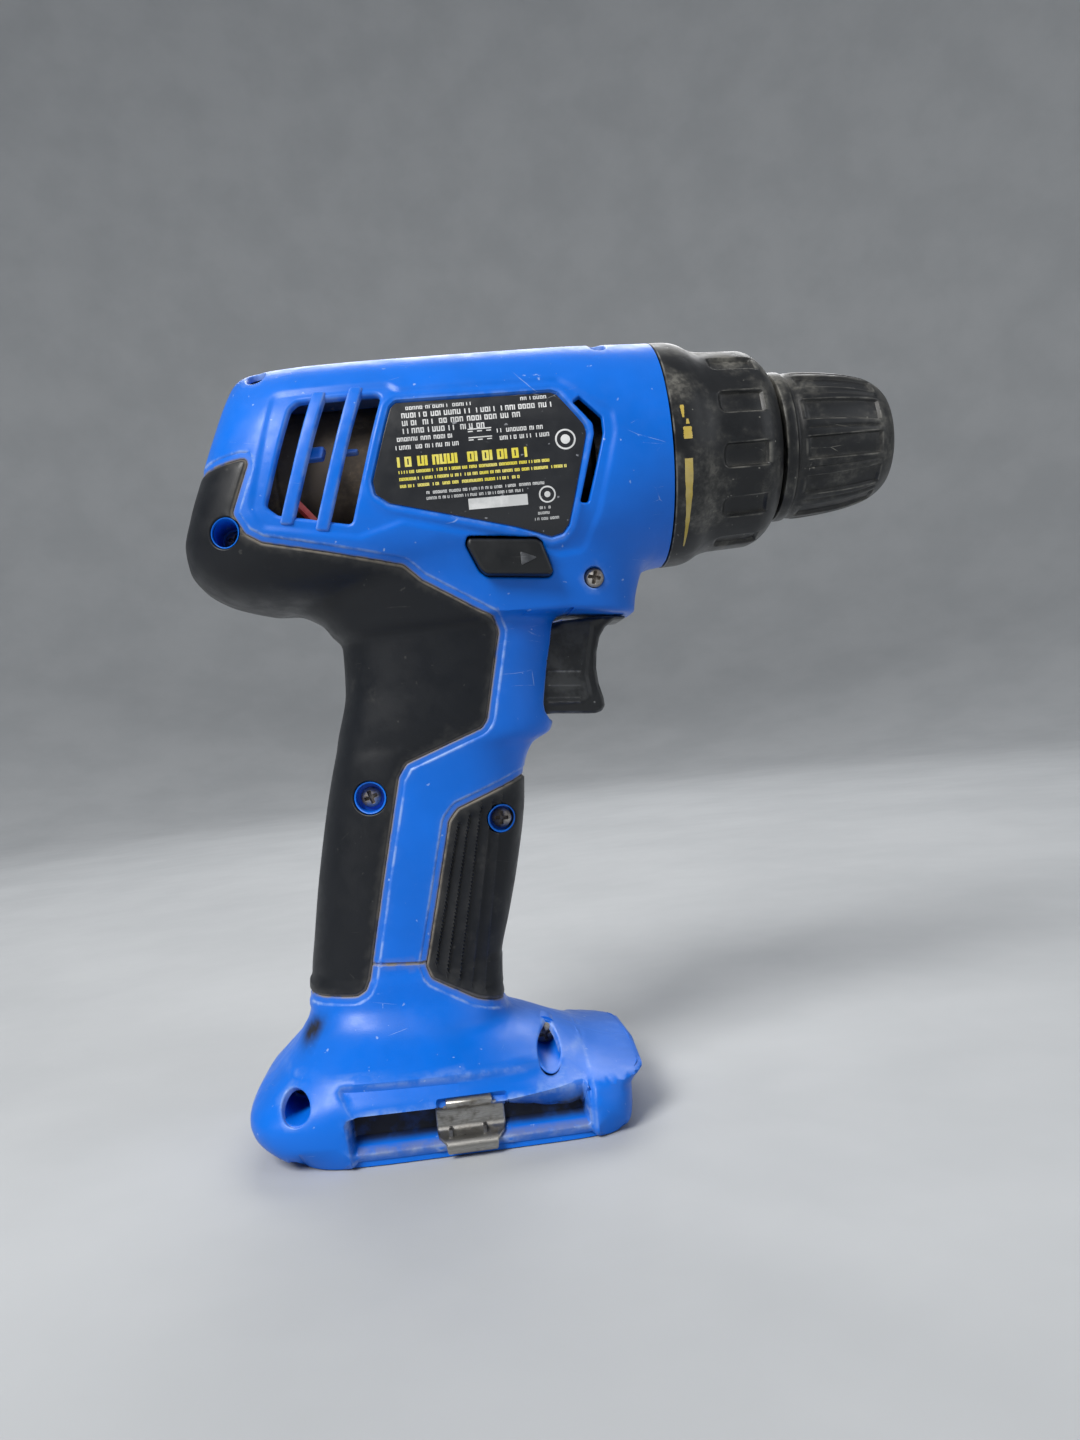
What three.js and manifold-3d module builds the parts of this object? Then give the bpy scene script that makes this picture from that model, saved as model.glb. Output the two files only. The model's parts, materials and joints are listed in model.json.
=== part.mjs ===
// A pistol-grip cordless drill without its battery: two moulded half shells with rubber grips,
// a brush motor, a two-stage planetary gearbox, an adjustable clutch and a keyless three-jaw chuck.
//
// Millimetres, +Z up. While it is being built, x = 0 is the housing's front edge and z = 0 is the
// chuck axis, with the chuck towards +X. The group at the end moves it on to its foot.
import * as THREE from "three";
import { mergeVertices } from "three/addons/utils/BufferGeometryUtils.js";
import Module from "manifold-3d";

const wasm = await Module();
wasm.setup();

// ---------------------------------------------------------------- driving dimensions
const AXIS_HEIGHT = 158.5; // chuck axis above the foot
const REAR_X = -117.5; // rearmost point of the housing
const NOSE_X = 60; // front of the chuck
const WALL = 2.5; // moulded wall thickness
const RUBBER = 1.6; // grip thickness
const GRIP_BED = 0.8; // depth of the adhesive bed under each grip
const GAP = 0.3; // clearance between pieces that touch
const COLLAR_R = 28; // torque collar and the housing's round front
const SLEEVE_R = 18.7; // chuck sleeve
const TRIGGER_HALF_WIDTH = 8.6;
const SCREW_HEAD_R = 2.8;
const SCREW_SHANK_R = 1.45;

// ---------------------------------------------------------------- materials
const material = (color, roughness, metalness = 0) =>
  new THREE.MeshStandardMaterial({ color, roughness, metalness });
const BLUE = material(0x1459c8, 0.42);
const RUBBER_BLACK = material(0x1d1f22, 0.75);
const BLACK = material(0x15171a, 0.55);
const LABEL_GREY = material(0x2a2d31, 0.4);
const STEEL = material(0xa9abae, 0.35, 1);
const DARK_STEEL = material(0x4a4c50, 0.45, 1);
const BRASS = material(0xb08d4a, 0.35, 1);
const COPPER = material(0xa8623a, 0.4, 1);
const NYLON = material(0xd8d4c6, 0.5);
const RED = material(0xa81c1c, 0.5);

// ---------------------------------------------------------------- solids
// A closed geometry as a manifold-3d solid.
function solid(geometry) {
  const bare = geometry.clone();
  bare.deleteAttribute("normal");
  bare.deleteAttribute("uv");
  const merged = mergeVertices(bare, 1e-4);
  return new wasm.Manifold(
    new wasm.Mesh({
      numProp: 3,
      vertProperties: merged.attributes.position.array,
      triVerts: new Uint32Array(merged.index.array),
    }),
  );
}

function geometryOf(body) {
  const { vertProperties, triVerts, numProp, numVert } = body.getMesh();
  const position = new Float32Array(numVert * 3);
  for (let i = 0; i < numVert; i++) {
    position.set(vertProperties.subarray(i * numProp, i * numProp + 3), i * 3);
  }
  return new THREE.BufferGeometry()
    .setAttribute("position", new THREE.BufferAttribute(position, 3))
    .setIndex(new THREE.BufferAttribute(triVerts, 1));
}

// The body without stray flakes left by the cuts.
const largest = (body) => body.decompose().sort((a, b) => b.volume() - a.volume())[0];

const union = (...bodies) => bodies.reduce((all, body) => all.add(body));
const cut = (body, ...tools) => tools.reduce((left, tool) => left.subtract(tool), body);

const box = (x0, x1, y0, y1, z0, z1) =>
  solid(
    new THREE.BoxGeometry(x1 - x0, y1 - y0, z1 - z0).translate(
      (x0 + x1) / 2,
      (y0 + y1) / 2,
      (z0 + z1) / 2,
    ),
  );

// A closed profile of [x, radius] pairs turned about the X axis.
function turned(profile, segments = 24) {
  const points = [...profile, profile[0]].map(([x, r]) => new THREE.Vector2(r, x));
  const made = solid(new THREE.LatheGeometry(points, segments).rotateZ(-Math.PI / 2));
  return made.volume() > 0 ? made : turned([...profile].reverse(), segments);
}

const disc = (x0, x1, r, segments = 24) =>
  turned([[x0, 0], [x0, r], [x1, r], [x1, 0]], segments);
const tube = (x0, x1, inner, outer, segments = 24) =>
  turned([[x0, inner], [x0, outer], [x1, outer], [x1, inner]], segments);

// A cylinder along Y at (x, z).
const crossPin = (x, z, r, y0, y1, segments = 16) =>
  solid(new THREE.CylinderGeometry(r, r, y1 - y0, segments).translate(x, (y0 + y1) / 2, z));

// A side-view outline of [x, z] points with width from y0 to y1.
function prism(outline, y0, y1) {
  const shape = new THREE.Shape(outline.map(([x, z]) => new THREE.Vector2(x, z)));
  const options = { depth: y1 - y0, bevelEnabled: false };
  return solid(
    new THREE.ExtrudeGeometry(shape, options).rotateX(Math.PI / 2).translate(0, y1, 0),
  );
}

// The outline moved outwards by distance, which may be negative. It runs anticlockwise or clockwise.
function offsetOutline(outline, distance) {
  const turn = THREE.ShapeUtils.area(outline.map(([x, y]) => ({ x, y }))) > 0 ? 1 : -1;
  const at = (i) => new THREE.Vector2(...outline[(i + outline.length) % outline.length]);
  return outline.map((_, i) => {
    const before = at(i).sub(at(i - 1)).normalize();
    const after = at(i + 1).sub(at(i)).normalize();
    const normal = new THREE.Vector2(before.y + after.y, -before.x - after.x).normalize();
    const miter = Math.max(0.5, normal.dot(new THREE.Vector2(before.y, -before.x)));
    const moved = at(i).addScaledVector(normal, (turn * distance) / miter);
    return [moved.x, moved.y];
  });
}

// A skin through rings of equally many points. A ring whose points all lie on a line closes the skin
// by itself, and any other end ring gets a flat cap.
function loft(rings, capped = [true, true]) {
  const count = rings[0].length;
  const points = rings.flat();
  const faces = [];
  for (let i = 0; i + 1 < rings.length; i++) {
    for (let j = 0; j < count; j++) {
      const [a, b] = [i * count + j, i * count + ((j + 1) % count)];
      faces.push(a, b, b + count, a, b + count, a + count);
    }
  }
  const cap = (first, flip) => {
    for (let j = 1; j + 1 < count; j++) {
      const [b, c] = flip ? [j + 1, j] : [j, j + 1];
      faces.push(first, first + b, first + c);
    }
  };
  if (capped[0]) cap(0, true);
  if (capped[1]) cap((rings.length - 1) * count, false);
  const geometry = new THREE.BufferGeometry().setFromPoints(points);
  geometry.setIndex(faces);
  const made = solid(geometry);
  if (made.volume() > 0) return made;
  return loft(rings.map((ring) => [...ring].reverse()), capped);
}

// ---------------------------------------------------------------- outlines of the body
const power = (value, exponent) => Math.sign(value) * Math.abs(value) ** exponent;

// Straight-line interpolation in a table of rows whose first entry rises or falls steadily.
function along(table, key) {
  const rising = table[0][0] < table[table.length - 1][0];
  const rows = rising ? table : [...table].reverse();
  const last = rows.length - 1;
  const i = Math.min(last, Math.max(1, rows.findIndex(([k]) => k >= key) + (key > rows[last][0] ? last + 1 : 0)));
  const t = THREE.MathUtils.clamp((key - rows[i - 1][0]) / (rows[i][0] - rows[i - 1][0]), 0, 1);
  return rows[i].slice(1).map((value, k) => THREE.MathUtils.lerp(rows[i - 1][k + 1], value, t));
}

// Rear edge of the head in side view: [z, x].
const HEAD_REAR = [
  [-32, -98], [-30.2, -104], [-28, -109.6], [-24.5, -114.3], [-20, -117], [-15, REAR_X], [-8, -115.6],
  [2, -111.8], [12, -107.9], [21, -104.4], [24.5, -102.8], [26.7, -100.8], [27.8, -97.5],
];
// Head sections from the rear edge (t = 0) to the front edge (t = 1):
// [t, bottom z, top z, half width, squareness of the upper half and of the lower half].
const HEAD_SECTIONS = [
  [0, -32, 27.8, 0, 2.5, 2.8], [0.008, -32, 27.8, 10, 2.5, 2.8], [0.035, -32, 27.8, 17.6, 2.5, 2.9],
  [0.09, -32, 27.8, 23.6, 2.5, 3], [0.19, -31.7, 27.8, 27.7, 2.5, 3.1],
  [0.34, -31, 27.8, 29, 2.5, 3.4], [0.75, -29, 27.9, 29, 2.35, 3.4], [1, -28, 28, COLLAR_R, 2, 2],
];
// Horizontal sections: [z, rear x, front x, half width, squareness].
const LIP_SECTIONS = [
  [-12, -82, -4, 23, 2.6], [-20, -88, -2.4, 24, 2.8], [-29, -88, -3.6, 22.6, 3],
  [-40, -83, -9, 20.4, 3],
];
const HANDLE_SECTIONS = [
  [-24, -92, -29, 20, 2.4], [-32, -90.5, -28.6, 19.5, 2.4], [-36, -86, -28.6, 19.2, 2.4],
  [-42, -82.7, -29, 18.8, 2.4], [-52, -83.1, -31, 18.2, 2.4], [-64, -86.2, -32, 18, 2.4],
  [-66.6, -86.8, -33, 17.9, 2.4], [-69.4, -87.6, -37.8, 17.8, 2.4], [-75, -89.2, -40.4, 17.6, 2.4],
  [-100, -94.8, -45, 17.5, 2.4], [-126, -98.8, -52.4, 17.6, 2.4],
];
const FOOT_SECTIONS = [
  [-122, -98.3, -52, 17.3, 2.4], [-127, -99, -52, 18.6, 2.5], [-132, -102, -48, 23, 2.8],
  [-136.6, -107.8, -37.4, 30, 3.5], [-141, -111.5, -27.8, 34.2, 4.4], [-147.3, -112.6, -20.4, 35.2, 5],
  [-151, -112.3, -23.6, 35.2, 5], [-156, -107.4, -24.6, 35, 5], [-158.5, -102.5, -25, 34.6, 5],
];

const RING_POINTS = 16;
const CORE_POINTS = 8; // the hollow inside is coarser
const anglesOf = (count) => Array.from({ length: count }, (_, j) => (2 * Math.PI * j) / count);

function head(inset, count = RING_POINTS) {
  const rings = HEAD_SECTIONS.map(([t, bottom, top, halfWidth, upper, lower]) =>
    anglesOf(count).map((angle) => {
      const n = angle < Math.PI ? upper : lower;
      const z = (bottom + top) / 2 + ((top - bottom) / 2 - inset) * power(Math.sin(angle), 2 / n);
      const y = Math.max(0, halfWidth - (t ? inset : 0)) * power(Math.cos(angle), 2 / n);
      const rear = along(HEAD_REAR, z)[0] + inset;
      const front = inset ? WALL : 0; // the inside runs out through the round front
      return new THREE.Vector3(THREE.MathUtils.lerp(rear, front, t), y, z);
    }),
  );
  return loft(rings, [false, true]);
}

function plan(sections, inset, count = RING_POINTS) {
  const rings = sections.map(([z, rear, front, halfWidth, n]) =>
    anglesOf(count).map((angle) => {
      const half = (front - rear) / 2 - inset;
      const x = (front + rear) / 2 + half * power(Math.cos(angle), 2 / n);
      return new THREE.Vector3(x, (halfWidth - inset) * power(Math.sin(angle), 2 / n), z);
    }),
  );
  return loft(rings);
}

// The sections with the last one moved up by the thickness of the floor under it.
const raised = (sections, lift) =>
  sections.map(([z, ...rest], i) => [i === sections.length - 1 ? z + lift : z, ...rest]);

const body = (inset) =>
  union(
    head(inset),
    plan(raised(LIP_SECTIONS, inset), inset),
    plan(HANDLE_SECTIONS, inset),
    plan(FOOT_SECTIONS, inset),
  );

// ---------------------------------------------------------------- features in side view, [x, z]
const REAR_GRIP = [
  [-98.3, 0.7], [-130, -0.8], [-130, -124.2], [-86.2, -124.2], [-84, -123], [-82.8, -120.5],
  [-77.2, -97.1], [-71.4, -74.2], [-69.2, -71], [-50.4, -64.4], [-49, -62.6], [-44.1, -42],
  [-45, -39], [-61, -29], [-64.8, -25.4], [-96, -17.8], [-99.5, -15.5], [-102.2, -10.4],
];
const FRONT_GRIP = [
  [-30, -73.3], [-41.6, -77.3], [-58.2, -83], [-60.4, -85.6], [-65.2, -104.1], [-69.2, -119],
  [-68.2, -122], [-57.8, -128.4], [-50.2, -131.6], [-30, -131.6],
];
const VENT = [
  [-86.8, 12.6], [-85, 14.2], [-65.8, 14.2], [-75.2, -15.8], [-91.8, -12], [-94.2, -9.8],
];
const VENT_BARS = [
  [[-81.3, 16], [-78.2, 16], [-88.4, -14.6], [-91.4, -14.2]],
  [[-72.8, 16.4], [-69.7, 16.4], [-80.6, -16.8], [-83.6, -16.4]],
];
const FRONT_VENT = [
  [-20.6, 9.8], [-15.9, 4.2], [-15.9, 0.4], [-20.8, -15.5], [-22.9, -15.2], [-18.2, 0.2],
  [-18.2, 2.6], [-22.4, 8.2],
];
const PLATE = [
  [-62.9, 12.2], [-27, 11.8], [-25.4, 11], [-19.9, 3], [-19.5, 0.6], [-25.3, -20.2], [-27, -22.2],
  [-30, -22.8], [-38.2, -19.9], [-66.6, -12], [-69.6, -9.6], [-70, -6.4], [-64.4, 10.8],
];
const SELECTOR = [
  [-49.6, -20.4], [-33.6, -22], [-32.2, -23], [-30.2, -30], [-31.2, -31], [-46, -29.6],
  [-47.4, -28.4], [-50.2, -22.2],
];
const TRIGGER = [
  [-10, -40.7], [-13, -41.6], [-16, -43.8], [-18.2, -48], [-19, -54], [-18.5, -59.4],
  [-18.5, -62.2], [-20, -63.4], [-32.2, -62], [-41, -61.6], [-41, -41.6], [-29, -40.7],
];
// Housing screws: [name, x, z, y of the face that the head sits on].
const SCREWS = [
  ["screw_top_rear", -96.6, 23.9, -8], ["screw_top_front", -14.3, 24.6, -8],
  ["screw_rear", -104.2, -14.3, -11], ["screw_trigger", -20.7, -32, -17.6],
  ["screw_grip_rear", -78.5, -78.2, -11], ["screw_grip_front", -47.8, -86.7, -8.5],
  ["screw_foot_rear", -100.3, -143.5, -16], ["screw_foot_front", -42.9, -137.2, -16],
];
const SCREW_TIP_Y = 7; // the screws cross the parting plane and end here, in the left shell
const BOSS_R = 4.1;

// ---------------------------------------------------------------- half shells and grips
const outside = body(0);
const BIG = 60;
const halfSpace = (side) => {
  const [y0, y1] = side < 0 ? [-BIG, -GAP / 2] : [GAP / 2, BIG];
  return box(-150, 90, y0, y1, -200, 60);
};

const SOCKET = box(-94, -31, -27, 27, -170, -143);
const HANDLE_PASSAGE = box(-86, -58, -12.5, 12.5, -146, -124);
const boss = (x, z, extra = 0) => crossPin(x, z, BOSS_R + extra, -BIG, BIG, 10);
const BOSSES = SCREWS.map(([, x, z]) => boss(x, z));

// The part of an outline's column, on one side, that lies between two depths under the skin.
function layer(outline, side, outer, inner) {
  const [y0, y1] = side < 0 ? [-BIG, -15] : [15, BIG];
  return cut(prism(outline, y0, y1).intersect(head(outer)), head(inner));
}

function railCuts(side) {
  const at = (a, b) => (side < 0 ? [-b, -a] : [a, b]);
  const [y0, y1] = at(30.2, 50);
  const [f0, f1] = at(34, 50);
  return [
    box(-89, -36, y0, y1, -152, -146.6), // the groove that the battery's latches close in
    box(-89.5, -35.5, f0, f1, -157.4, -142.6), // the relieved wall around the rails
  ];
}

function latchSeat(side) {
  const at = (a, b) => (side < 0 ? [-b, -a] : [a, b]);
  return box(-70.2, -54.2, ...at(29.4, 50), -156.6, -144.4);
}

// A bulkhead across the head that holds a round piece of the given radius.
const bulkhead = (x, hole) =>
  cut(box(x, x + 2, -BIG, BIG, -18.5, BIG), disc(x - 1, x + 3, hole, 16));

// Everything inside the walls except the screw bosses and the bulkheads.
function hollow() {
  const space = union(
    head(WALL, CORE_POINTS).intersect(box(-95.5, 10, -BIG, BIG, -BIG, BIG)),
    head(WALL + RUBBER, CORE_POINTS),
    plan(raised(LIP_SECTIONS, WALL), WALL, CORE_POINTS),
    plan(HANDLE_SECTIONS, WALL + RUBBER, CORE_POINTS),
    SOCKET,
    HANDLE_PASSAGE,
  );
  return cut(space, bulkhead(-62, 18.2), bulkhead(-94, 18.2), bulkhead(-30, 19.4), ...BOSSES);
}

// The recess that a grip lies in, open to the outside.
const gripBed = (outline) =>
  cut(prism(outline, -BIG, BIG), body(RUBBER + GRIP_BED), ...BOSSES);

const HOLLOW_OUTSIDE = cut(outside, hollow(), gripBed(REAR_GRIP), gripBed(FRONT_GRIP));

function halfShell(side) {
  const at = (a, b) => (side < 0 ? [-b, -a] : [a, b]);
  const bars = VENT_BARS.map((outline) => layer(outline, side, -0.4, 2.2));
  const bores = SCREWS.flatMap(([, x, z, seat]) => [
    crossPin(x, z, SCREW_SHANK_R + GAP, -BIG, SCREW_TIP_Y + 1, 6),
    crossPin(x, z, SCREW_HEAD_R + GAP, -BIG, seat, 10),
  ]);
  const shell = cut(
    HOLLOW_OUTSIDE.intersect(halfSpace(side)),
    prism(VENT, ...at(20, BIG)),
    prism(FRONT_VENT, ...at(20, BIG)),
    layer(PLATE, side, -5, 1),
    prism(offsetOutline(SELECTOR, 0.4), -BIG, BIG),
    box(-44, 0, -TRIGGER_HALF_WIDTH - 0.5, TRIGGER_HALF_WIDTH + 0.5, -64, -40.2),
    ...railCuts(side),
    latchSeat(side),
    ...bores,
  );
  return largest(union(shell, ...bars));
}

function grip(outline, side) {
  const region = prism(offsetOutline(outline, -GAP), -BIG, BIG);
  const under = union(body(RUBBER), head(RUBBER + GAP));
  const cover = cut(region, under, ...SCREWS.map(([, x, z]) => boss(x, z, GAP)));
  return largest(cover.intersect(outside).intersect(halfSpace(side)));
}

const ratingPlate = (side) => layer(offsetOutline(PLATE, -0.4), side, 0.2, 0.7);

// A bent steel strip in the foot's side, which the battery's latch hooks behind.
function latchStrike(side) {
  const strip = [
    [34.6, -144.7], [34.6, -146.2], [30.6, -147.2], [30.6, -151.4], [34.4, -152.6], [34.4, -156.2],
    [33.6, -156.2], [33.6, -153.2], [29.8, -152], [29.8, -146.6], [33.8, -145.5], [33.8, -144.7],
  ];
  const shape = new THREE.Shape(strip.map(([y, z]) => new THREE.Vector2(side * y, z)));
  const geometry = new THREE.ExtrudeGeometry(shape, { depth: 14.6, bevelEnabled: false });
  // shape x, y and depth become Y, Z and X
  geometry.applyMatrix4(new THREE.Matrix4().makeBasis(
    new THREE.Vector3(0, 1, 0), new THREE.Vector3(0, 0, 1), new THREE.Vector3(1, 0, 0),
  ));
  return solid(geometry.translate(-69.5, 0, 0));
}

// A pan-head screw with a cross recess, driven from the right side.
function screw(x, z, seat) {
  const shank = crossPin(x, z, SCREW_SHANK_R, seat - 1, SCREW_TIP_Y, 6);
  const top = crossPin(x, z, SCREW_HEAD_R, seat - 2.1, seat - 0.05, 10);
  const recess = (dx, dz) => box(x - dx, x + dx, seat - 3, seat - 1.2, z - dz, z + dz);
  return cut(union(shank, top), recess(1.5, 0.35), recess(0.35, 1.5));
}

// ---------------------------------------------------------------- trigger, selector and switch
function trigger() {
  const w = TRIGGER_HALF_WIDTH;
  const stem = box(-46, -40.9, -3, 3, -54, -49);
  const grooves = [-58.5, -60.5].map((z) => [
    box(-32, -20.5, -BIG, -w + 0.4, z - 0.4, z + 0.4),
    box(-32, -20.5, w - 0.4, BIG, z - 0.4, z + 0.4),
  ]);
  return cut(union(prism(TRIGGER, -w, w), stem), ...grooves.flat());
}

const selector = () =>
  union(prism(SELECTOR, -24.6, 24.6), prism(offsetOutline(SELECTOR, -0.8), -25.4, 25.4));

const switchBody = () =>
  cut(
    union(box(-71.5, -49.5, -9.5, 9.5, -71, -43), box(-66, -52, -6, 6, -43.2, -36)),
    box(-58, -49, -3.6, 3.6, -54.6, -48.4),
  );

// A wire coiled about X.
function coil(x0, x1, radius, wire, turns, stepsPerTurn, sides) {
  const points = Array.from({ length: turns * stepsPerTurn + 1 }, (_, i) => {
    const angle = (2 * Math.PI * i) / stepsPerTurn;
    const x = THREE.MathUtils.lerp(x0, x1, i / (turns * stepsPerTurn));
    return new THREE.Vector3(x, radius * Math.cos(angle), radius * Math.sin(angle));
  });
  return wireAlong(points, wire, sides);
}

// A round wire whose section is set square to the path at each of its points.
function wireAlong(points, r, sides = 6) {
  const rings = points.map((point, i) => {
    const before = points[Math.max(0, i - 1)];
    const after = points[Math.min(points.length - 1, i + 1)];
    const direction = after.clone().sub(before).normalize();
    const up = Math.abs(direction.z) > 0.95 ? new THREE.Vector3(1, 0, 0) : new THREE.Vector3(0, 0, 1);
    const across = direction.clone().cross(up).normalize();
    const over = across.clone().cross(direction);
    return Array.from({ length: sides }, (_, k) => {
      const angle = (2 * Math.PI * k) / sides;
      return point.clone()
        .addScaledVector(across, r * Math.cos(angle))
        .addScaledVector(over, r * Math.sin(angle));
    });
  });
  return loft(rings);
}

const lead = (steps, ...stops) =>
  wireAlong(
    new THREE.CatmullRomCurve3(stops.map((stop) => new THREE.Vector3(...stop))).getPoints(steps),
    1.1,
    5,
  );

// ---------------------------------------------------------------- battery contacts
const terminalBlock = () =>
  cut(
    box(-85.4, -58.6, -12, 12, -147.4, -139),
    ...[-7, 7].map((y) => box(-80, -64, y - 0.8, y + 0.8, -148, -138)),
  );
const terminal = (y) => box(-78, -66, y - 0.4, y + 0.4, -152, -136.5);

// ---------------------------------------------------------------- motor
const MOTOR_FRONT = -48;
const MOTOR_REAR = -98.6;
const CAN_R = 17.8;

// The field magnets are bonded to the can, so they count as part of it.
const magnet = (side) =>
  tube(-92, -60, 13.8, CAN_R - 1).intersect(
    box(-100, -50, ...(side < 0 ? [-BIG, -6] : [6, BIG]), -BIG, BIG),
  );

function motorCan() {
  const shell = turned([
    [MOTOR_REAR + 3.4, CAN_R - 1.4], [MOTOR_REAR + 3.4, CAN_R], [MOTOR_FRONT, CAN_R],
    [MOTOR_FRONT, 3.2], [MOTOR_FRONT - 1.6, 3.2], [MOTOR_FRONT - 1.6, CAN_R - 1.4],
  ]);
  const slots = [0, 1, 2, 3].map((i) => {
    const angle = Math.PI / 4 + (i * Math.PI) / 2;
    const [y, z] = [CAN_R * Math.cos(angle), CAN_R * Math.sin(angle)];
    return box(-58, -52, y - 3, y + 3, z - 3, z + 3);
  });
  return union(cut(shell, ...slots), magnet(-1), magnet(1));
}

// The rear cap, with a guide for each brush.
function motorEndCap() {
  const plate = turned([
    [MOTOR_REAR - 1.6, 2.2], [MOTOR_REAR - 1.6, 5], [MOTOR_REAR, 5], [MOTOR_REAR, CAN_R - 1.4],
    [MOTOR_REAR + 2.8, CAN_R - 1.4], [MOTOR_REAR + 2.8, 14.6], [MOTOR_REAR + 1.4, 14.6],
    [MOTOR_REAR + 1.4, 6], [MOTOR_REAR + 0.2, 5], [MOTOR_REAR + 0.2, 2.2],
  ]);
  const guides = [box(-98.5, -93, -3.4, 3.4, 7.6, 13), box(-98.5, -93, -3.4, 3.4, -13, -7.6)];
  const slots = [box(-97.7, -92, -2.3, 2.3, 5, 14), box(-97.7, -92, -2.3, 2.3, -14, -5)];
  return cut(union(plate, ...guides), ...slots);
}

// A laminated core with five poles, the insulating sleeve behind it and the commutator.
function armature() {
  const poles = [0, 1, 2, 3, 4].map((i) => {
    const slot = box(-93, -59, -0.9, 0.9, 7.5, 20);
    return solid(geometryOf(slot).rotateX((2 * Math.PI * (i + 0.5)) / 5));
  });
  const core = cut(tube(-90, -62, 1.9, 13, 20), ...poles);
  return union(core, tube(-98, -92.4, 1.9, 5.2, 16), tube(-93, -89, 1.9, 4, 16));
}

const brush = (side) => (side < 0 ? box(-97.4, -93.2, -2, 2, -12.6, -5.6) : box(-97.4, -93.2, -2, 2, 5.6, 12.6));

function fan() {
  const hub = union(tube(-57.4, -50.4, 1.9, 4.5, 16), tube(-51.4, -50.4, 3, 15.4));
  const blades = Array.from({ length: 8 }, (_, i) =>
    solid(
      geometryOf(box(-57.4, -50.6, -0.5, 0.5, 4, 15)).rotateX((2 * Math.PI * i) / 8),
    ),
  );
  return union(hub, ...blades);
}

// ---------------------------------------------------------------- gears
const MODULE = 0.6;
const [SUN_TEETH, PLANET_TEETH, RING_TEETH] = [12, 18, 48];
const ORBIT = (MODULE * (SUN_TEETH + PLANET_TEETH)) / 2; // sun axis to planet axis
const PLANET_BORE = 1.7;
const PIN_R = 1.4;

// Straight-flanked teeth. The first tooth is centred on the angle phase, and inner teeth point inwards.
function toothOutline(teeth, phase, inner = false) {
  const pitch = (MODULE * teeth) / 2;
  const tip = inner ? pitch - 0.5 * MODULE : pitch + 0.6 * MODULE;
  const root = inner ? pitch + 0.95 * MODULE : pitch - 0.95 * MODULE;
  const step = (2 * Math.PI) / teeth;
  const [rootHalf, tipHalf] = inner ? [0.36, 0.1] : [0.33, 0.1];
  return Array.from({ length: teeth }, (_, i) => phase + i * step).flatMap((angle) =>
    [[root, -rootHalf], [tip, -tipHalf], [tip, tipHalf], [root, rootHalf]].map(([r, share]) => {
      const at = angle + share * step;
      return new THREE.Vector2(r * Math.cos(at), r * Math.sin(at));
    }),
  );
}

// A flat outline in the YZ plane, as thick as x0 to x1.
function gearBlank(shape, x0, x1) {
  const geometry = new THREE.ExtrudeGeometry(shape, { depth: x1 - x0, bevelEnabled: false });
  geometry.applyMatrix4(new THREE.Matrix4().makeBasis(
    new THREE.Vector3(0, 1, 0), new THREE.Vector3(0, 0, 1), new THREE.Vector3(1, 0, 0),
  ));
  return solid(geometry.translate(x0, 0, 0));
}

const spurGear = (teeth, phase, x0, x1, bore) =>
  gearBlank(new THREE.Shape(toothOutline(teeth, phase)), x0, x1).subtract(disc(x0 - 1, x1 + 1, bore, 10));

const planetAngles = [0, 1, 2].map((i) => (2 * Math.PI * i) / 3);
const orbitPoint = (angle, r = ORBIT) => [r * Math.cos(angle), r * Math.sin(angle)];

const planet = (angle, x0, x1) =>
  spurGear(PLANET_TEETH, Math.PI / PLANET_TEETH, x0, x1, PLANET_BORE).translate(
    [0, ...orbitPoint(angle)],
  );

const pins = (x0, x1) =>
  planetAngles.map((angle) => disc(x0, x1, PIN_R, 8).translate([0, ...orbitPoint(angle)]));

function ringGear() {
  const shape = new THREE.Shape().absarc(0, 0, 17, 0, 2 * Math.PI);
  shape.holes.push(new THREE.Path(toothOutline(RING_TEETH, 0, true)));
  const options = { depth: 18, bevelEnabled: false, curveSegments: 16 };
  const geometry = new THREE.ExtrudeGeometry(shape, options);
  geometry.applyMatrix4(new THREE.Matrix4().makeBasis(
    new THREE.Vector3(0, 1, 0), new THREE.Vector3(0, 0, 1), new THREE.Vector3(1, 0, 0),
  ));
  return solid(geometry.translate(-44, 0, 0));
}

const firstCarrier = () =>
  union(
    tube(-35.8, -33.4, 0.9, 12.6),
    spurGear(SUN_TEETH, 0, -33.5, -26.4, 0.9),
    ...pins(-42.4, -35.7),
  );

const outputCarrier = () =>
  cut(
    union(tube(-25.6, -21.6, 0.9, 12.6), ...pins(-32.8, -25.5)),
    hexBar(-24, -20, 4.4),
  );

const hexBar = (x0, x1, r) => disc(x0, x1, r, 6);

// ---------------------------------------------------------------- gearbox case, clutch and collar
const gearCase = () =>
  turned([
    [-44, 17.3], [-44, 19], [-18, 19], [-17, 18], [-17, 12.6], [28.4, 12.6], [28.4, 9.1], [-20, 9.1],
    [-20, 17.3],
  ]);

const motorPlate = () => tube(-47.7, -44.3, 4, 18.6);

const LUG_ANGLES = planetAngles.map((angle) => angle + Math.PI / 6);

// A rib along X at each lug angle, centred r from the axis.
const lugs = (x0, x1, r, halfWidth, halfHeight) =>
  LUG_ANGLES.map((angle) =>
    solid(
      geometryOf(box(x0, x1, r - halfHeight, r + halfHeight, -halfWidth, halfWidth)).rotateX(angle),
    ),
  );

const clutchNut = () => union(tube(12, 16.4, 13, 20), ...lugs(12, 16.4, 20.6, 2, 2.2));

const PAD_COUNT = 12;
const padAngles = Array.from({ length: PAD_COUNT }, (_, i) => (2 * Math.PI * (i + 0.5)) / PAD_COUNT);

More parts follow.
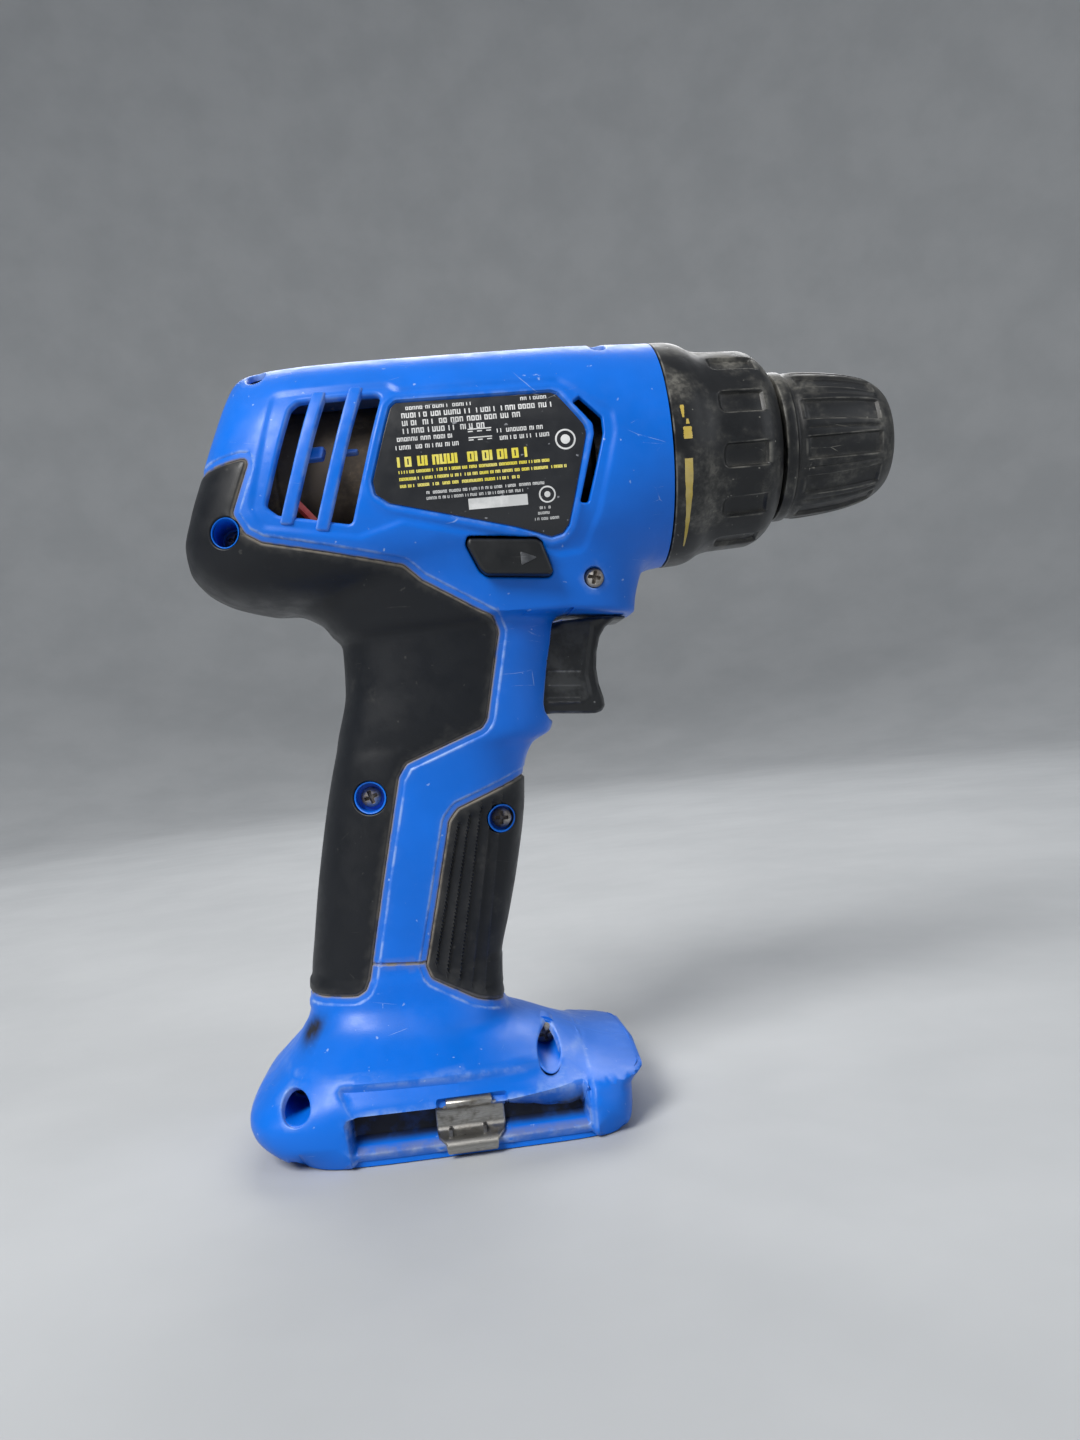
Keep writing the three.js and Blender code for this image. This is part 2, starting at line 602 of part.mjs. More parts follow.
// The collar turns on the gear case's nose, and three grooves inside it carry the nut's lugs.
function torqueCollar() {
  const rim = turned([
    [0.4, 24.4], [0.4, 27.7], [1, COLLAR_R], [6.5, 27.8], [9.4, 26.4], [13, 25.6], [22.5, 25],
    [26, 23.6], [29, 20], [29, 13], [26, 13], [26, 20.6], [24.4, 21.8], [3, 23.6],
  ]);
  const pads = padAngles.map((angle) =>
    solid(geometryOf(box(13, 24, -2.6, 2.6, 24.2, 30)).rotateX(angle)),
  );
  return cut(rim, ...pads, ...lugs(1, 24, 20.6, 2.5, 2.8));
}

// ---------------------------------------------------------------- spindle and chuck
const spindle = () => union(disc(-21.2, 41.6, 6), hexBar(-24, -21, 4.1), disc(21, 24, 8));
const spindleBush = () => tube(6, 20.6, 6.3, 8.8);

const JAW_ANGLE = THREE.MathUtils.degToRad(14);
const JAW_R = 2.8;
const JAW_FRONT = [57.6, 6.4]; // x, and the jaw axis's distance from the chuck axis there, with the jaws 8 mm apart
const JAW_LENGTH = 26;

// A rod along a jaw's sloping axis, from its front end backwards, in the plane at the given angle.
function jawRod(angle, r, front, length, sides = 10) {
  const rod = new THREE.CylinderGeometry(r, r, length, sides).rotateZ(-Math.PI / 2); // along X
  rod.translate(front - length / 2, 0, 0).rotateY(JAW_ANGLE).translate(JAW_FRONT[0], 0, JAW_FRONT[1]);
  return solid(rod.rotateX(angle));
}

function jaw(angle) {
  const rod = jawRod(0, JAW_R, 0, JAW_LENGTH);
  // the gripping edge is a blunt wedge with a 120 degree point
  const [x, r] = JAW_FRONT;
  const wedge = solid(
    geometryOf(
      gearBlank(
        new THREE.Shape([
          new THREE.Vector2(0.3, -2.4), new THREE.Vector2(5, 0.32), new THREE.Vector2(5, 9),
          new THREE.Vector2(-5, 9), new THREE.Vector2(-5, 0.32), new THREE.Vector2(-0.3, -2.4),
        ]),
        x - 40,
        x + 10,
      ),
    ).translate(0, 0, r),
  );
  return solid(geometryOf(rod.intersect(wedge)).rotateX(angle));
}

const jawAngles = planetAngles.map((angle) => angle + Math.PI / 6);

function chuckBody() {
  const blank = turned([
    [30.4, 6.3], [30.4, 13.6], [40.4, 13.6], [40.4, 11.6], [46.6, 11.6], [46.6, 13.8], [52, 13.4],
    [57.6, 11.2], [59.2, 9.6], [59.2, 5.4], [42, 5.4], [42, 6.3],
  ], 20);
  return cut(blank, ...jawAngles.map((angle) => jawRod(angle, JAW_R + GAP, 12, 42)));
}

const chuckNut = () =>
  turned([[40.8, 13.8], [40.8, 15.5], [46.2, 15.5], [46.2, 12.6]]);

const FLUTE_COUNT = 12;
const fluteAngles = Array.from(
  { length: FLUTE_COUNT },
  (_, i) => (2 * Math.PI * (i + 0.5)) / FLUTE_COUNT,
);

function chuckSleeve() {
  const blank = turned([
    [30.2, 14.2], [30.2, SLEEVE_R], [33, SLEEVE_R + 0.2], [33.8, 18.2], [35.2, SLEEVE_R],
    [50.5, 17.2], [55, 15.8], [NOSE_X, 11.8], [NOSE_X, 10.4], [52.4, 14.2], [47.4, 14.6],
    [47.4, 15.8], [38.4, 15.8], [37.6, 16.5], [31.4, 16.5], [31.4, 14.2],
  ]);
  const flute = prism([[36.6, 17.3], [47.6, 16.4], [54.4, 15], [54.4, 30], [36.6, 30]], -2.2, 2.2);
  const flutes = fluteAngles.map((angle) => solid(geometryOf(flute).rotateX(angle)));
  return cut(blank, ...flutes);
}

// ---------------------------------------------------------------- the drill
const drill = new THREE.Group();
drill.position.set(-(REAR_X + NOSE_X) / 2, 0, AXIS_HEIGHT);

function add(name, made, look) {
  const mesh = new THREE.Mesh(geometryOf(made), look);
  mesh.name = name;
  drill.add(mesh);
}

for (const [word, side] of [["right", -1], ["left", 1]]) {
  add(`${word}_shell`, halfShell(side), BLUE);
  add(`${word}_rear_grip`, grip(REAR_GRIP, side), RUBBER_BLACK);
  add(`${word}_front_grip`, grip(FRONT_GRIP, side), RUBBER_BLACK);
  add(`${word}_rating_plate`, ratingPlate(side), LABEL_GREY);
  add(`${word}_latch_strike`, latchStrike(side), STEEL);
}
for (const [name, x, z, seat] of SCREWS) add(name, screw(x, z, seat), STEEL);

add("trigger", trigger(), BLACK);
add("direction_selector", selector(), BLACK);
add("switch_body", switchBody(), BLACK);
add("trigger_spring", coil(-48.8, -41.7, 4.6, 0.4, 4, 8, 5).translate([0, 0, -51.5]), STEEL);
add("terminal_block", terminalBlock(), BLACK);
add("positive_terminal", terminal(-7), BRASS);
add("negative_terminal", terminal(7), BRASS);
add("red_battery_lead", lead(9, [-72, -7, -135], [-71, -7, -122], [-68, -6, -100], [-62, -5, -72.4]), RED);
add("black_battery_lead", lead(9, [-72, 7, -135], [-71, 7, -122], [-68, 6, -100], [-62, 5, -72.4]), BLACK);
add("red_motor_lead", lead(9, [-70, -5, -42.6], [-72, -8, -33], [-77, -15, -22], [-88, -20, -8]), RED);
add("black_motor_lead", lead(9, [-70, 5, -42.6], [-72, 8, -33], [-77, 15, -22], [-88, 20, -8]), BLACK);

add("motor_can", motorCan(), DARK_STEEL);
add("motor_end_cap", motorEndCap(), NYLON);
add("motor_shaft", disc(-103, -36.4, 1.6, 12), STEEL);
add("armature", armature(), COPPER);
add("upper_brush", brush(1), DARK_STEEL);
add("lower_brush", brush(-1), DARK_STEEL);
add("cooling_fan", fan(), NYLON);
add("motor_pinion", spurGear(SUN_TEETH, 0, -43.4, -36.4, 1.9), STEEL);

add("motor_plate", motorPlate(), DARK_STEEL);
add("gear_case", gearCase(), BLACK);
add("ring_gear", ringGear(), STEEL);
planetAngles.forEach((angle, i) => add(`first_planet_${i + 1}`, planet(angle, -42.4, -36.2), NYLON));
add("first_carrier", firstCarrier(), STEEL);
planetAngles.forEach((angle, i) => add(`second_planet_${i + 1}`, planet(angle, -33, -26), STEEL));
add("output_carrier", outputCarrier(), STEEL);

add("spindle", spindle(), STEEL);
add("spindle_bush", spindleBush(), BRASS);
add("clutch_ring", tube(-16.6, -14.4, 13, 17.6), STEEL);
add("clutch_spring", coil(-13.2, 10.8, 15.6, 0.9, 4, 10, 5), STEEL);
add("clutch_nut", clutchNut(), NYLON);
add("torque_collar", torqueCollar(), BLACK);

add("chuck_body", chuckBody(), DARK_STEEL);
add("chuck_nut", chuckNut(), STEEL);
add("chuck_sleeve", chuckSleeve(), BLACK);
jawAngles.forEach((angle, i) => add(`chuck_jaw_${i + 1}`, jaw(angle), STEEL));

const root = new THREE.Group();
root.add(drill);
export default root;
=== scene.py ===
"""The cordless drill's visible skin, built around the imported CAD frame."""
import json
import math
import random

import bmesh
import bpy
import numpy as np
from mathutils import Matrix, Vector
from mathutils.geometry import delaunay_2d_cdt


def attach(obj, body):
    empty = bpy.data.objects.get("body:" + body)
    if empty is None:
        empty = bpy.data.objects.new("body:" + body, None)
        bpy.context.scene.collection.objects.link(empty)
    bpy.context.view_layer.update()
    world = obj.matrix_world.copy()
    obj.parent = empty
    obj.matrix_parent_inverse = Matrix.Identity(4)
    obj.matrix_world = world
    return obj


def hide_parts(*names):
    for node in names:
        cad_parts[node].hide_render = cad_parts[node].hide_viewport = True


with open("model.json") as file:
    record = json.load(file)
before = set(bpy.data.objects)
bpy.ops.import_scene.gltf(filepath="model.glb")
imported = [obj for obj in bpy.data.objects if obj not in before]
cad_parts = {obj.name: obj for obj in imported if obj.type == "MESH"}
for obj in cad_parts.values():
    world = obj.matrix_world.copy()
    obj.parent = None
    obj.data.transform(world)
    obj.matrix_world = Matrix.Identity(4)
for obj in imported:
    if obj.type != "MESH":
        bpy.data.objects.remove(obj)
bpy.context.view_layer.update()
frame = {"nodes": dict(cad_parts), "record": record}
random.seed(11)

# Shapes are worked out in millimetres with x = 0 at the housing's front edge and z = 0 on the chuck
# axis. X_SHIFT and Z_SHIFT move them to the row frame.
X_SHIFT, Z_SHIFT, MM = 28.75, 158.5, 0.001
WALL = 1.5  # thickness of the visible skin
SEAM = 0.04  # half the gap along the parting line
RIGHT, LEFT = -1, 1
WORDS = {RIGHT: "right", LEFT: "left"}
FOOT_MIDDLE = -72  # the x that the foot's slanted lines turn about

# ---------------------------------------------------------------- tables of the body
HEAD_REAR = [
    (-32, -98), (-30.2, -104), (-28, -109.6), (-24.5, -114.3), (-20, -117), (-15, -117.5),
    (-8, -115.6), (2, -111.8), (12, -107.9), (21, -104.4), (24.5, -102.8), (26.7, -100.8),
    (27.8, -97.5),
]
# share of the way from the rear edge to the front, bottom z, top z, half width, squareness above, below
HEAD = [
    (0, -32, 27.8, 0.6, 2.5, 2.8), (0.008, -32, 27.8, 10, 2.5, 2.8), (0.035, -32, 27.8, 17.6, 2.5, 2.9),
    (0.09, -32, 27.8, 23.6, 2.5, 3), (0.19, -31.7, 27.8, 27.7, 2.5, 3.1),
    (0.34, -31, 27.8, 29, 2.5, 3.4), (0.75, -29, 27.9, 29, 2.35, 3.4), (1, -28, 28, 28, 2, 2),
]
# z, rear x, front x, half width, squareness
LIP = [
    (-40, -83, -9, 20.4, 3), (-37, -84, -8.6, 21, 3), (-30, -88, -6.4, 22.6, 3), (-24, -88, -2.2, 24, 2.8),
    (-20, -88, -0.8, 24, 2.8), (-12, -82, -0.4, 23, 2.6),
]
HANDLE = [
    (-24, -92, -29, 20, 2.4), (-32, -90.5, -28.6, 19.5, 2.4), (-36, -86, -28.6, 19.2, 2.4),
    (-42, -82.7, -29, 18.8, 2.4), (-52, -83.1, -31, 18.2, 2.4), (-64, -86.2, -32, 18, 2.4),
    (-66.6, -86.8, -33, 17.9, 2.4), (-69.4, -87.6, -37.8, 17.8, 2.4), (-75, -89.2, -40.4, 17.6, 2.4),
    (-84, -91.4, -41.5, 17.5, 2.4), (-100, -94.8, -45, 17.5, 2.4), (-112, -96.9, -48.4, 17.5, 2.4),
    (-119, -98.1, -50.6, 17.5, 2.4), (-127, -98.8, -52.4, 17.6, 2.4),
]
FOOT = [
    (-122, -98.3, -52, 17.3, 2.4), (-127, -98.8, -51.7, 18.6, 2.5), (-130, -99.6, -51.4, 20, 2.7),
    (-132, -100.6, -51.1, 21.2, 2.8), (-134, -102, -50.4, 22.7, 2.9), (-136, -103.4, -47.6, 25, 2.9),
    (-137.6, -105, -43.6, 27.4, 3), (-139, -106.5, -40.4, 29.6, 3), (-140.3, -107.9, -37.6, 31.6, 3.1),
    (-141.2, -108.9, -35.8, 32.3, 3.1), (-142.4, -110.2, -33.3, 33, 3.2), (-144, -111.8, -29.8, 33.7, 3.5),
    (-145.4, -112.7, -25.2, 34.2, 3.9), (-146.3, -113.1, -21.2, 34.5, 4.3), (-147, -113.3, -19.8, 34.7, 4.6),
    (-148, -113.4, -21.4, 34.8, 4.9), (-149.2, -113.4, -23.8, 34.9, 5), (-151.5, -112.8, -24.3, 35, 5),
    (-153.5, -111.4, -24.5, 35, 5), (-156, -108.2, -25, 35, 5), (-158.5, -104.3, -25.4, 34.8, 5),
]
# The foot's front half: z, how square its corners are
NOSE = [
    (-122, 2.4), (-127, 2.5), (-132, 2.6), (-137.6, 2.5), (-140.3, 2.4), (-142.4, 2.5), (-144, 2.8),
    (-145.4, 3.3), (-146.3, 3.8), (-147, 4.4), (-148, 5), (-149.2, 6.5), (-151.5, 8), (-158.5, 9),
]
# Outlines in side view, as (x, z)
REAR_GRIP = [
    (-96.9, 2.1), (-130, 0.6), (-130, -124.2), (-86.2, -124.2), (-84, -123), (-82.8, -120.5),
    (-77.2, -97.1), (-71.4, -74.2), (-69.2, -71), (-50.4, -64.4), (-49, -62.6), (-44.1, -42),
    (-45, -39), (-61, -29), (-64.8, -25.4), (-96, -17.8), (-99.5, -15.5), (-102.2, -10.4),
]
FRONT_GRIP = [
    (-30, -73.3), (-41.6, -77.3), (-58.2, -83), (-60.4, -85.6), (-65.2, -104.1), (-69.2, -119),
    (-68.2, -122), (-57.8, -128.4), (-50.2, -131.6), (-30, -131.6),
]
GRIP_GROOVES = [
    ((-58.2, -86), (-66.9, -119)), ((-55.4, -84.6), (-64.6, -121.8)), ((-52.4, -83), (-61.8, -123.8)),
    ((-49.6, -82), (-59, -125.6)), ((-47, -81.4), (-56, -127)),
]
VENT = [(-86.8, 12.6), (-85, 14.2), (-65.8, 14.2), (-75.2, -15.8), (-91.8, -12), (-94.2, -9.8)]
VENT_BARS = [
    [(-81.3, 16), (-78.2, 16), (-88.4, -14.6), (-91.4, -14.2)],
    [(-72.8, 16.4), (-69.7, 16.4), (-80.6, -16.8), (-83.6, -16.4)],
]
VENT_RIBS = [
    [(-84.4, 3.5), (-80.0, 3.5), (-80.8, 0.6), (-85.2, 0.6)],
    [(-75.4, 2.1), (-72.2, 2.1), (-72.5, 1.2), (-75.7, 1.2)],
]
FRONT_VENT = [
    (-20.6, 9.8), (-15.9, 4.2), (-15.9, 0.4), (-20.8, -15.5), (-22.9, -15.2), (-18.2, 0.2),
    (-18.2, 2.6), (-22.4, 8.2),
]
PLATE = [
    (-62.9, 12.2), (-27, 11.8), (-25.4, 11), (-19.9, 3), (-19.5, 0.6), (-25.3, -20.2), (-27, -22.2),
    (-30, -22.8), (-38.2, -19.9), (-66.6, -12), (-69.6, -9.6), (-70, -6.4), (-64.4, 10.8),
]
SELECTOR = [
    (-49.6, -20.4), (-33.6, -22), (-32.2, -23), (-30.2, -30), (-31.2, -31), (-46, -29.6),
    (-47.4, -28.4), (-50.2, -22.2),
]
TRIGGER = [
    (-11.6, -40.3), (-12.2, -41), (-14.8, -41), (-17.2, -42.6), (-18.8, -44.9), (-19.9, -48.6),
    (-20.4, -52.4), (-20.2, -56.2), (-19.3, -60.1), (-19.2, -62), (-20.1, -63.3), (-21.6, -63.7),
    (-31.6, -62.7), (-41, -62.2), (-41, -41.6), (-28, -40), (-17.3, -39.7),
]
TRIGGER_CHEEK = [
    (-20.6, -41.4), (-17, -40.3), (-27.6, -40.3), (-29.6, -41.6), (-42, -42), (-42, -60.3), (-24, -60.3),
    (-22.9, -59.4), (-23.5, -54), (-22.4, -48.4),
]
TRIGGER_WINDOW = [
    (-8, -40.6), (-12, -40.6), (-27, -39.1), (-28.8, -39.2), (-30, -40.6), (-30.7, -43.6),
    (-32.7, -51.6), (-34.4, -59.9), (-34.2, -61.9), (-32.9, -64), (-30, -64.9), (-20, -65.2), (-8, -60),
]
# name, x, z, y of the face under the head, radius of the opening, radius of the ring round it
SCREWS = [
    ("screw_top_rear", -95.4, 24.0, -5.5, 2.5, 3.6), ("screw_top_front", -13.2, 25.0, -6, 2.2, 3.4),
    ("screw_rear", -104.2, -14.3, -11, 3.1, 3.6), ("screw_trigger", -20.3, -31.6, -18.2, 2.5, 3.3),
    ("screw_grip_rear", -78.5, -78.2, -11, 3.4, 4), ("screw_grip_front", -47.8, -86.7, -8.5, 3, 3.5),
    ("screw_foot_rear", -100.6, -144, -14, 3.4, 4.2), ("screw_foot_front", -42.6, -141.2, -5.5, 2.8, 3.9),
]
RINGED = {"screw_rear", "screw_grip_rear", "screw_grip_front"}  # these holes pass through rubber


# ---------------------------------------------------------------- curves and outlines
class Curve:
    """A smooth curve through a table's rows that adds no bumps between them."""

    def __init__(self, rows):
        rows = np.array(sorted(rows), float)
        self.k, self.v = rows[:, 0], rows[:, 1:]
        h = np.diff(self.k)[:, None]
        d = np.diff(self.v, axis=0) / h
        m = np.zeros_like(self.v)
        m[0], m[-1] = d[0], d[-1]
        before, after = d[:-1], d[1:]
        same = before * after > 0
        w1, w2 = 2 * h[1:] + h[:-1], h[1:] + 2 * h[:-1]
        safe_before, safe_after = np.where(same, before, 1), np.where(same, after, 1)
        m[1:-1] = np.where(same, (w1 + w2) / (w1 / safe_before + w2 / safe_after), 0)
        self.m = m

    def __call__(self, at):
        at = np.clip(np.asarray(at, float), self.k[0], self.k[-1])
        i = np.clip(np.searchsorted(self.k, at, side="right") - 1, 0, len(self.k) - 2)
        h = (self.k[i + 1] - self.k[i])[..., None]
        t = (at - self.k[i])[..., None] / h
        t2, t3 = t * t, t * t * t
        made = (2 * t3 - 3 * t2 + 1) * self.v[i] + (t3 - 2 * t2 + t) * h * self.m[i]
        made = made + (3 * t2 - 2 * t3) * self.v[i + 1] + (t3 - t2) * h * self.m[i + 1]
        return np.moveaxis(made, -1, 0)


def smooth_max(a, b, k):
    h = np.clip(k - np.abs(a - b), 0, None) / k
    return np.maximum(a, b) + h * h * k / 4


def smooth_min(a, b, k):
    return -smooth_max(-a, -b, k)


def step(edge0, edge1, value):
    t = np.clip((value - edge0) / (edge1 - edge0), 0, 1)
    return t * t * (3 - 2 * t)


def resample(loop, spacing, closed=True):
    loop = np.asarray(loop, float)
    ends = np.vstack([loop, loop[:1]]) if closed else loop
    along = np.concatenate([[0], np.cumsum(np.linalg.norm(np.diff(ends, axis=0), axis=1))])
    count = max(4, int(round(along[-1] / spacing)))
    at = np.linspace(0, along[-1], count + 1)[: count if closed else count + 1]
    return np.stack([np.interp(at, along, ends[:, c]) for c in range(2)], axis=1)


def cut_corners(outline, cut, steps):
    """Points with a curve in place of each corner. cut gives its length from the angle between the sides."""
    outline = [np.array(p, float) for p in outline]
    made = []
    for i, corner in enumerate(outline):
        before, after = outline[i - 1] - corner, outline[(i + 1) % len(outline)] - corner
        back, on = np.linalg.norm(before), np.linalg.norm(after)
        angle = math.acos(max(-1, min(1, float(before @ after) / (back * on))))
        length = min(cut(angle), back * 0.45, on * 0.45)
        a, b = corner + before / back * length, corner + after / on * length
        made += [(1 - t) ** 2 * a + 2 * t * (1 - t) * corner + t * t * b for t in np.linspace(0, 1, steps)]
    return made


def rounded(outline, radius, spacing=0.8):
    """The outline with its corners rounded, as evenly spaced points."""
    return resample(cut_corners(outline, lambda angle: radius / max(math.tan(angle / 2), 1e-6), 6), spacing)


def circle(x, z, r, count=40):
    a = np.arange(count) * 2 * math.pi / count
    return np.stack([x + r * np.cos(a), z + r * np.sin(a)], axis=1)


def area(loop):
    x, z = loop[:, 0], loop[:, 1]
    return 0.5 * float(np.sum(x * np.roll(z, -1) - np.roll(x, -1) * z))


def inward(loop):
    """Unit normals of a closed loop, pointing into it."""
    along = np.roll(loop, -1, axis=0) - np.roll(loop, 1, axis=0)
    along /= np.maximum(np.linalg.norm(along, axis=1, keepdims=True), 1e-9)
    return np.stack([-along[:, 1], along[:, 0]], axis=1) * (1 if area(loop) > 0 else -1)


def inside(loop, points):
    a, b = loop, np.roll(loop, -1, axis=0)
    made = np.zeros(len(points), bool)
    for first in range(0, len(points), 4000):
        px, pz = points[first : first + 4000, 0:1], points[first : first + 4000, 1:2]
        over = (a[:, 1] > pz) != (b[:, 1] > pz)
        rise = np.where(np.abs(b[:, 1] - a[:, 1]) < 1e-12, 1e-12, b[:, 1] - a[:, 1])
        x = a[:, 0] + (pz - a[:, 1]) * (b[:, 0] - a[:, 0]) / rise
        made[first : first + 4000] = np.sum(over & (px < x), axis=1) % 2 == 1
    return made


def distance(line, points, closed=True):
    """Distance from each point to a line of joined points."""
    line = np.asarray(line, float)
    a = line if closed else line[:-1]
    b = np.roll(line, -1, axis=0) if closed else line[1:]
    ab = b - a
    length = np.maximum(np.sum(ab * ab, axis=1), 1e-12)
    made = np.empty(len(points))
    for first in range(0, len(points), 4000):
        p = points[first : first + 4000, None, :]
        t = np.clip(np.sum((p - a) * ab, axis=2) / length, 0, 1)
        gap = p - (a + t[..., None] * ab)
        made[first : first + 4000] = np.sqrt(np.min(np.sum(gap * gap, axis=2), axis=1))
    return made


# ---------------------------------------------------------------- the body's outer surface
REAR_CURVE, LIP_CURVE, HANDLE_CURVE, FOOT_CURVE = Curve(HEAD_REAR), Curve(LIP), Curve(HANDLE), Curve(FOOT)
NOSE_CURVE = Curve(NOSE)
HEAD_CURVE = Curve([(math.sqrt(row[0]), *row[1:]) for row in HEAD])


def head_field(x, y, z):
    rear = REAR_CURVE(z)[0]
    share = np.sqrt(np.clip((x - rear) / (0 - rear), 0, 1))
    bottom, top, width, above, below = HEAD_CURVE(share)
    middle, half = (bottom + top) / 2, (top - bottom) / 2
    n = np.where(z > middle, above, below)
    rho = (np.abs(y / width) ** n + np.abs((z - middle) / half) ** n) ** (1 / n)
    return np.maximum((rho - 1) * np.maximum(width, 6), rear - x)


def plan_field(curve, x, y, z, top, bottom, edge, tilt=0.0):
    rear, front, width, n = curve(z)
    middle, half = (front + rear) / 2, (front - rear) / 2
    if tilt:
        n = np.where(x > middle, NOSE_CURVE(z)[0], n)
        width = curve(z + tilt * (x - FOOT_MIDDLE) * step(-131, -135, z) * step(-149, -144, z))[2]
    rho = (np.abs(y / width) ** n + np.abs((x - middle) / half) ** n) ** (1 / n)
    sides = (rho - 1) * np.minimum(width, half)
    return np.maximum(smooth_max(sides, bottom - z, edge), z - top)


def field(x, y, z):
    """Below zero inside the drill's body and above zero outside it."""
    lip_bottom = np.clip((-11 - x) * 0.1, 0, 1.6) - 40
    made = smooth_min(head_field(x, y, z), plan_field(LIP_CURVE, x, y, z, -12, lip_bottom, 1.4), 2)
    made = smooth_min(made, plan_field(HANDLE_CURVE, x, y, z, -24, -127, 0.3), 2.5)
    return smooth_min(made, plan_field(FOOT_CURVE, x, y, z, -122, -158.5, 3, 0.07), 2)


def half_width(points):
    """The surface's distance from the parting plane, in side view."""
    x, z = points[:, 0], points[:, 1]
    low, high = np.zeros(len(x)), np.full(len(x), 42.0)
    for _ in range(22):
        middle = (low + high) / 2
        within = field(x, middle, z) < 0
        low, high = np.where(within, middle, low), np.where(within, high, middle)
    return low


def slopes(points, y):
    """How steeply the field rises along x, y and z."""
    x, z, e = points[:, 0], points[:, 1], 0.03
    along_x = field(x + e, y, z) - field(x - e, y, z)
    along_y = field(x, y + e, z) - field(x, y - e, z)
    along_z = field(x, y, z + e) - field(x, y, z - e)
    return np.stack([along_x, along_y, along_z], axis=1) / (2 * e)


def normals(points, y):
    made = slopes(points, y)
    return made / np.maximum(np.linalg.norm(made, axis=1, keepdims=True), 1e-9)


FRONT_X, BOTTOM_Z = 0.0, -158.2  # where the housing is cut off


def trace_side():
    """The body's outline in side view, by marching squares."""
    cell = 0.6
    xs, zs = np.arange(-121, 3, cell), np.arange(-161, 31, cell)
    gx, gz = np.meshgrid(xs, zs, indexing="ij")
    value = np.maximum(field(gx.ravel(), np.zeros(gx.size), gz.ravel()), gx.ravel() - FRONT_X)
    value = np.maximum(value, BOTTOM_Z - gz.ravel()).reshape(gx.shape) + 1e-9
    links, spots = {}, {}
    corners = ((0, 0), (1, 0), (1, 1), (0, 1))
    signs = value < 0
    mixed = signs[:-1, :-1].astype(int) + signs[1:, :-1] + signs[1:, 1:] + signs[:-1, 1:]
    for i, j in np.argwhere((mixed > 0) & (mixed < 4)):
        crossed = []
        for c in range(4):
            (a, b), (d, e) = corners[c], corners[(c + 1) % 4]
            p, q = (i + a, j + b), (i + d, j + e)
            if signs[p] != signs[q]:
                key = (min(p, q), max(p, q))
                share = value[key[0]] / (value[key[0]] - value[key[1]])
                start = np.array([xs[key[0][0]], zs[key[0][1]]])
                end = np.array([xs[key[1][0]], zs[key[1][1]]])
                spots[key] = start + (end - start) * share
                crossed.append(key)
        for a, b in zip(crossed[::2], crossed[1::2]):
            links.setdefault(a, []).append(b)
            links.setdefault(b, []).append(a)
    best = []
    left = set(links)
    while left:
        first = min(left)
        chain, at, came = [first], first, None
        while True:
            left.discard(at)
            on = [k for k in links[at] if k != came and (k in left or k == first)]
            if not on or on[0] == first:
                break
            came, at = at, on[0]
            chain.append(at)
        if len(chain) > len(best):
            best = chain
    loop = resample(np.array([spots[k] for k in best]), 0.9)
    for _ in range(4):
        x, z = loop[:, 0].copy(), loop[:, 1].copy()
        f = field(x, 0 * x, z)
        n = normals(loop, 0 * x)
        steep = np.linalg.norm(slopes(loop, 0 * x), axis=1)
        free = (x < FRONT_X - 0.02) & (z > BOTTOM_Z + 0.02)
        move = np.where(free, np.clip(f / np.maximum(steep, 0.3), -0.3, 0.3), 0)
        loop[:, 0] -= n[:, 0] * move
        loop[:, 1] -= n[:, 2] * move
        loop[:, 0] = np.minimum(loop[:, 0], FRONT_X)
        loop[:, 1] = np.maximum(loop[:, 1], BOTTOM_Z)
    for corner in ((0, 28), (0, -28)):
        nearest = int(np.argmin(np.sum((loop - corner) ** 2, axis=1)))
        loop[nearest] = corner
    return loop


SIDE = trace_side()


def at_cut(points):
    """True for points on the housing's open front or bottom edge."""
    return (points[:, 0] > FRONT_X - 0.05) | (points[:, 1] < BOTTOM_Z + 0.05)


SIDE_RINGS = (0.02, 0.08, 0.18, 0.32, 0.5, 0.75, 1.1, 1.6, 2.3, 3.2)


def side_ring_points():
    normal = inward(SIDE)
    made = []
    for d in SIDE_RINGS:
        ring = (SIDE + normal * d)[~at_cut(SIDE)]
        made.append(ring[distance(SIDE, ring) > 0.93 * d])
    return np.vstack(made)


SIDE_POINTS = side_ring_points()


# ---------------------------------------------------------------- meshes
def to_row(points):
    return (np.asarray(points, float) + [X_SHIFT, 0, Z_SHIFT]) * MM


def upright(flat, y):
    """Side-view points given their distance y from the parting plane."""
    return np.stack([flat[:, 0], np.broadcast_to(y, len(flat)), flat[:, 1]], axis=1)


def always(value):
    """A function of side-view points that is the same everywhere."""
    return lambda points: np.full(len(points), float(value))


def ridge(gap, width):
    """1 where gap is 0, falling off smoothly over about the width."""
    return np.exp(-((gap / width) ** 2))


def rolled_edge(away, roll):
    """How far a rounded edge has dropped at each distance from it."""
    away = np.clip(away, 0, roll)
    return roll - np.sqrt(np.maximum(roll * roll - (roll - away) ** 2, 0))


def both_layers(**marks):
    """Marks for a patch's top points, repeated for its bottom points."""
    return [(key, np.tile(values, 2)) for key, values in marks.items()]


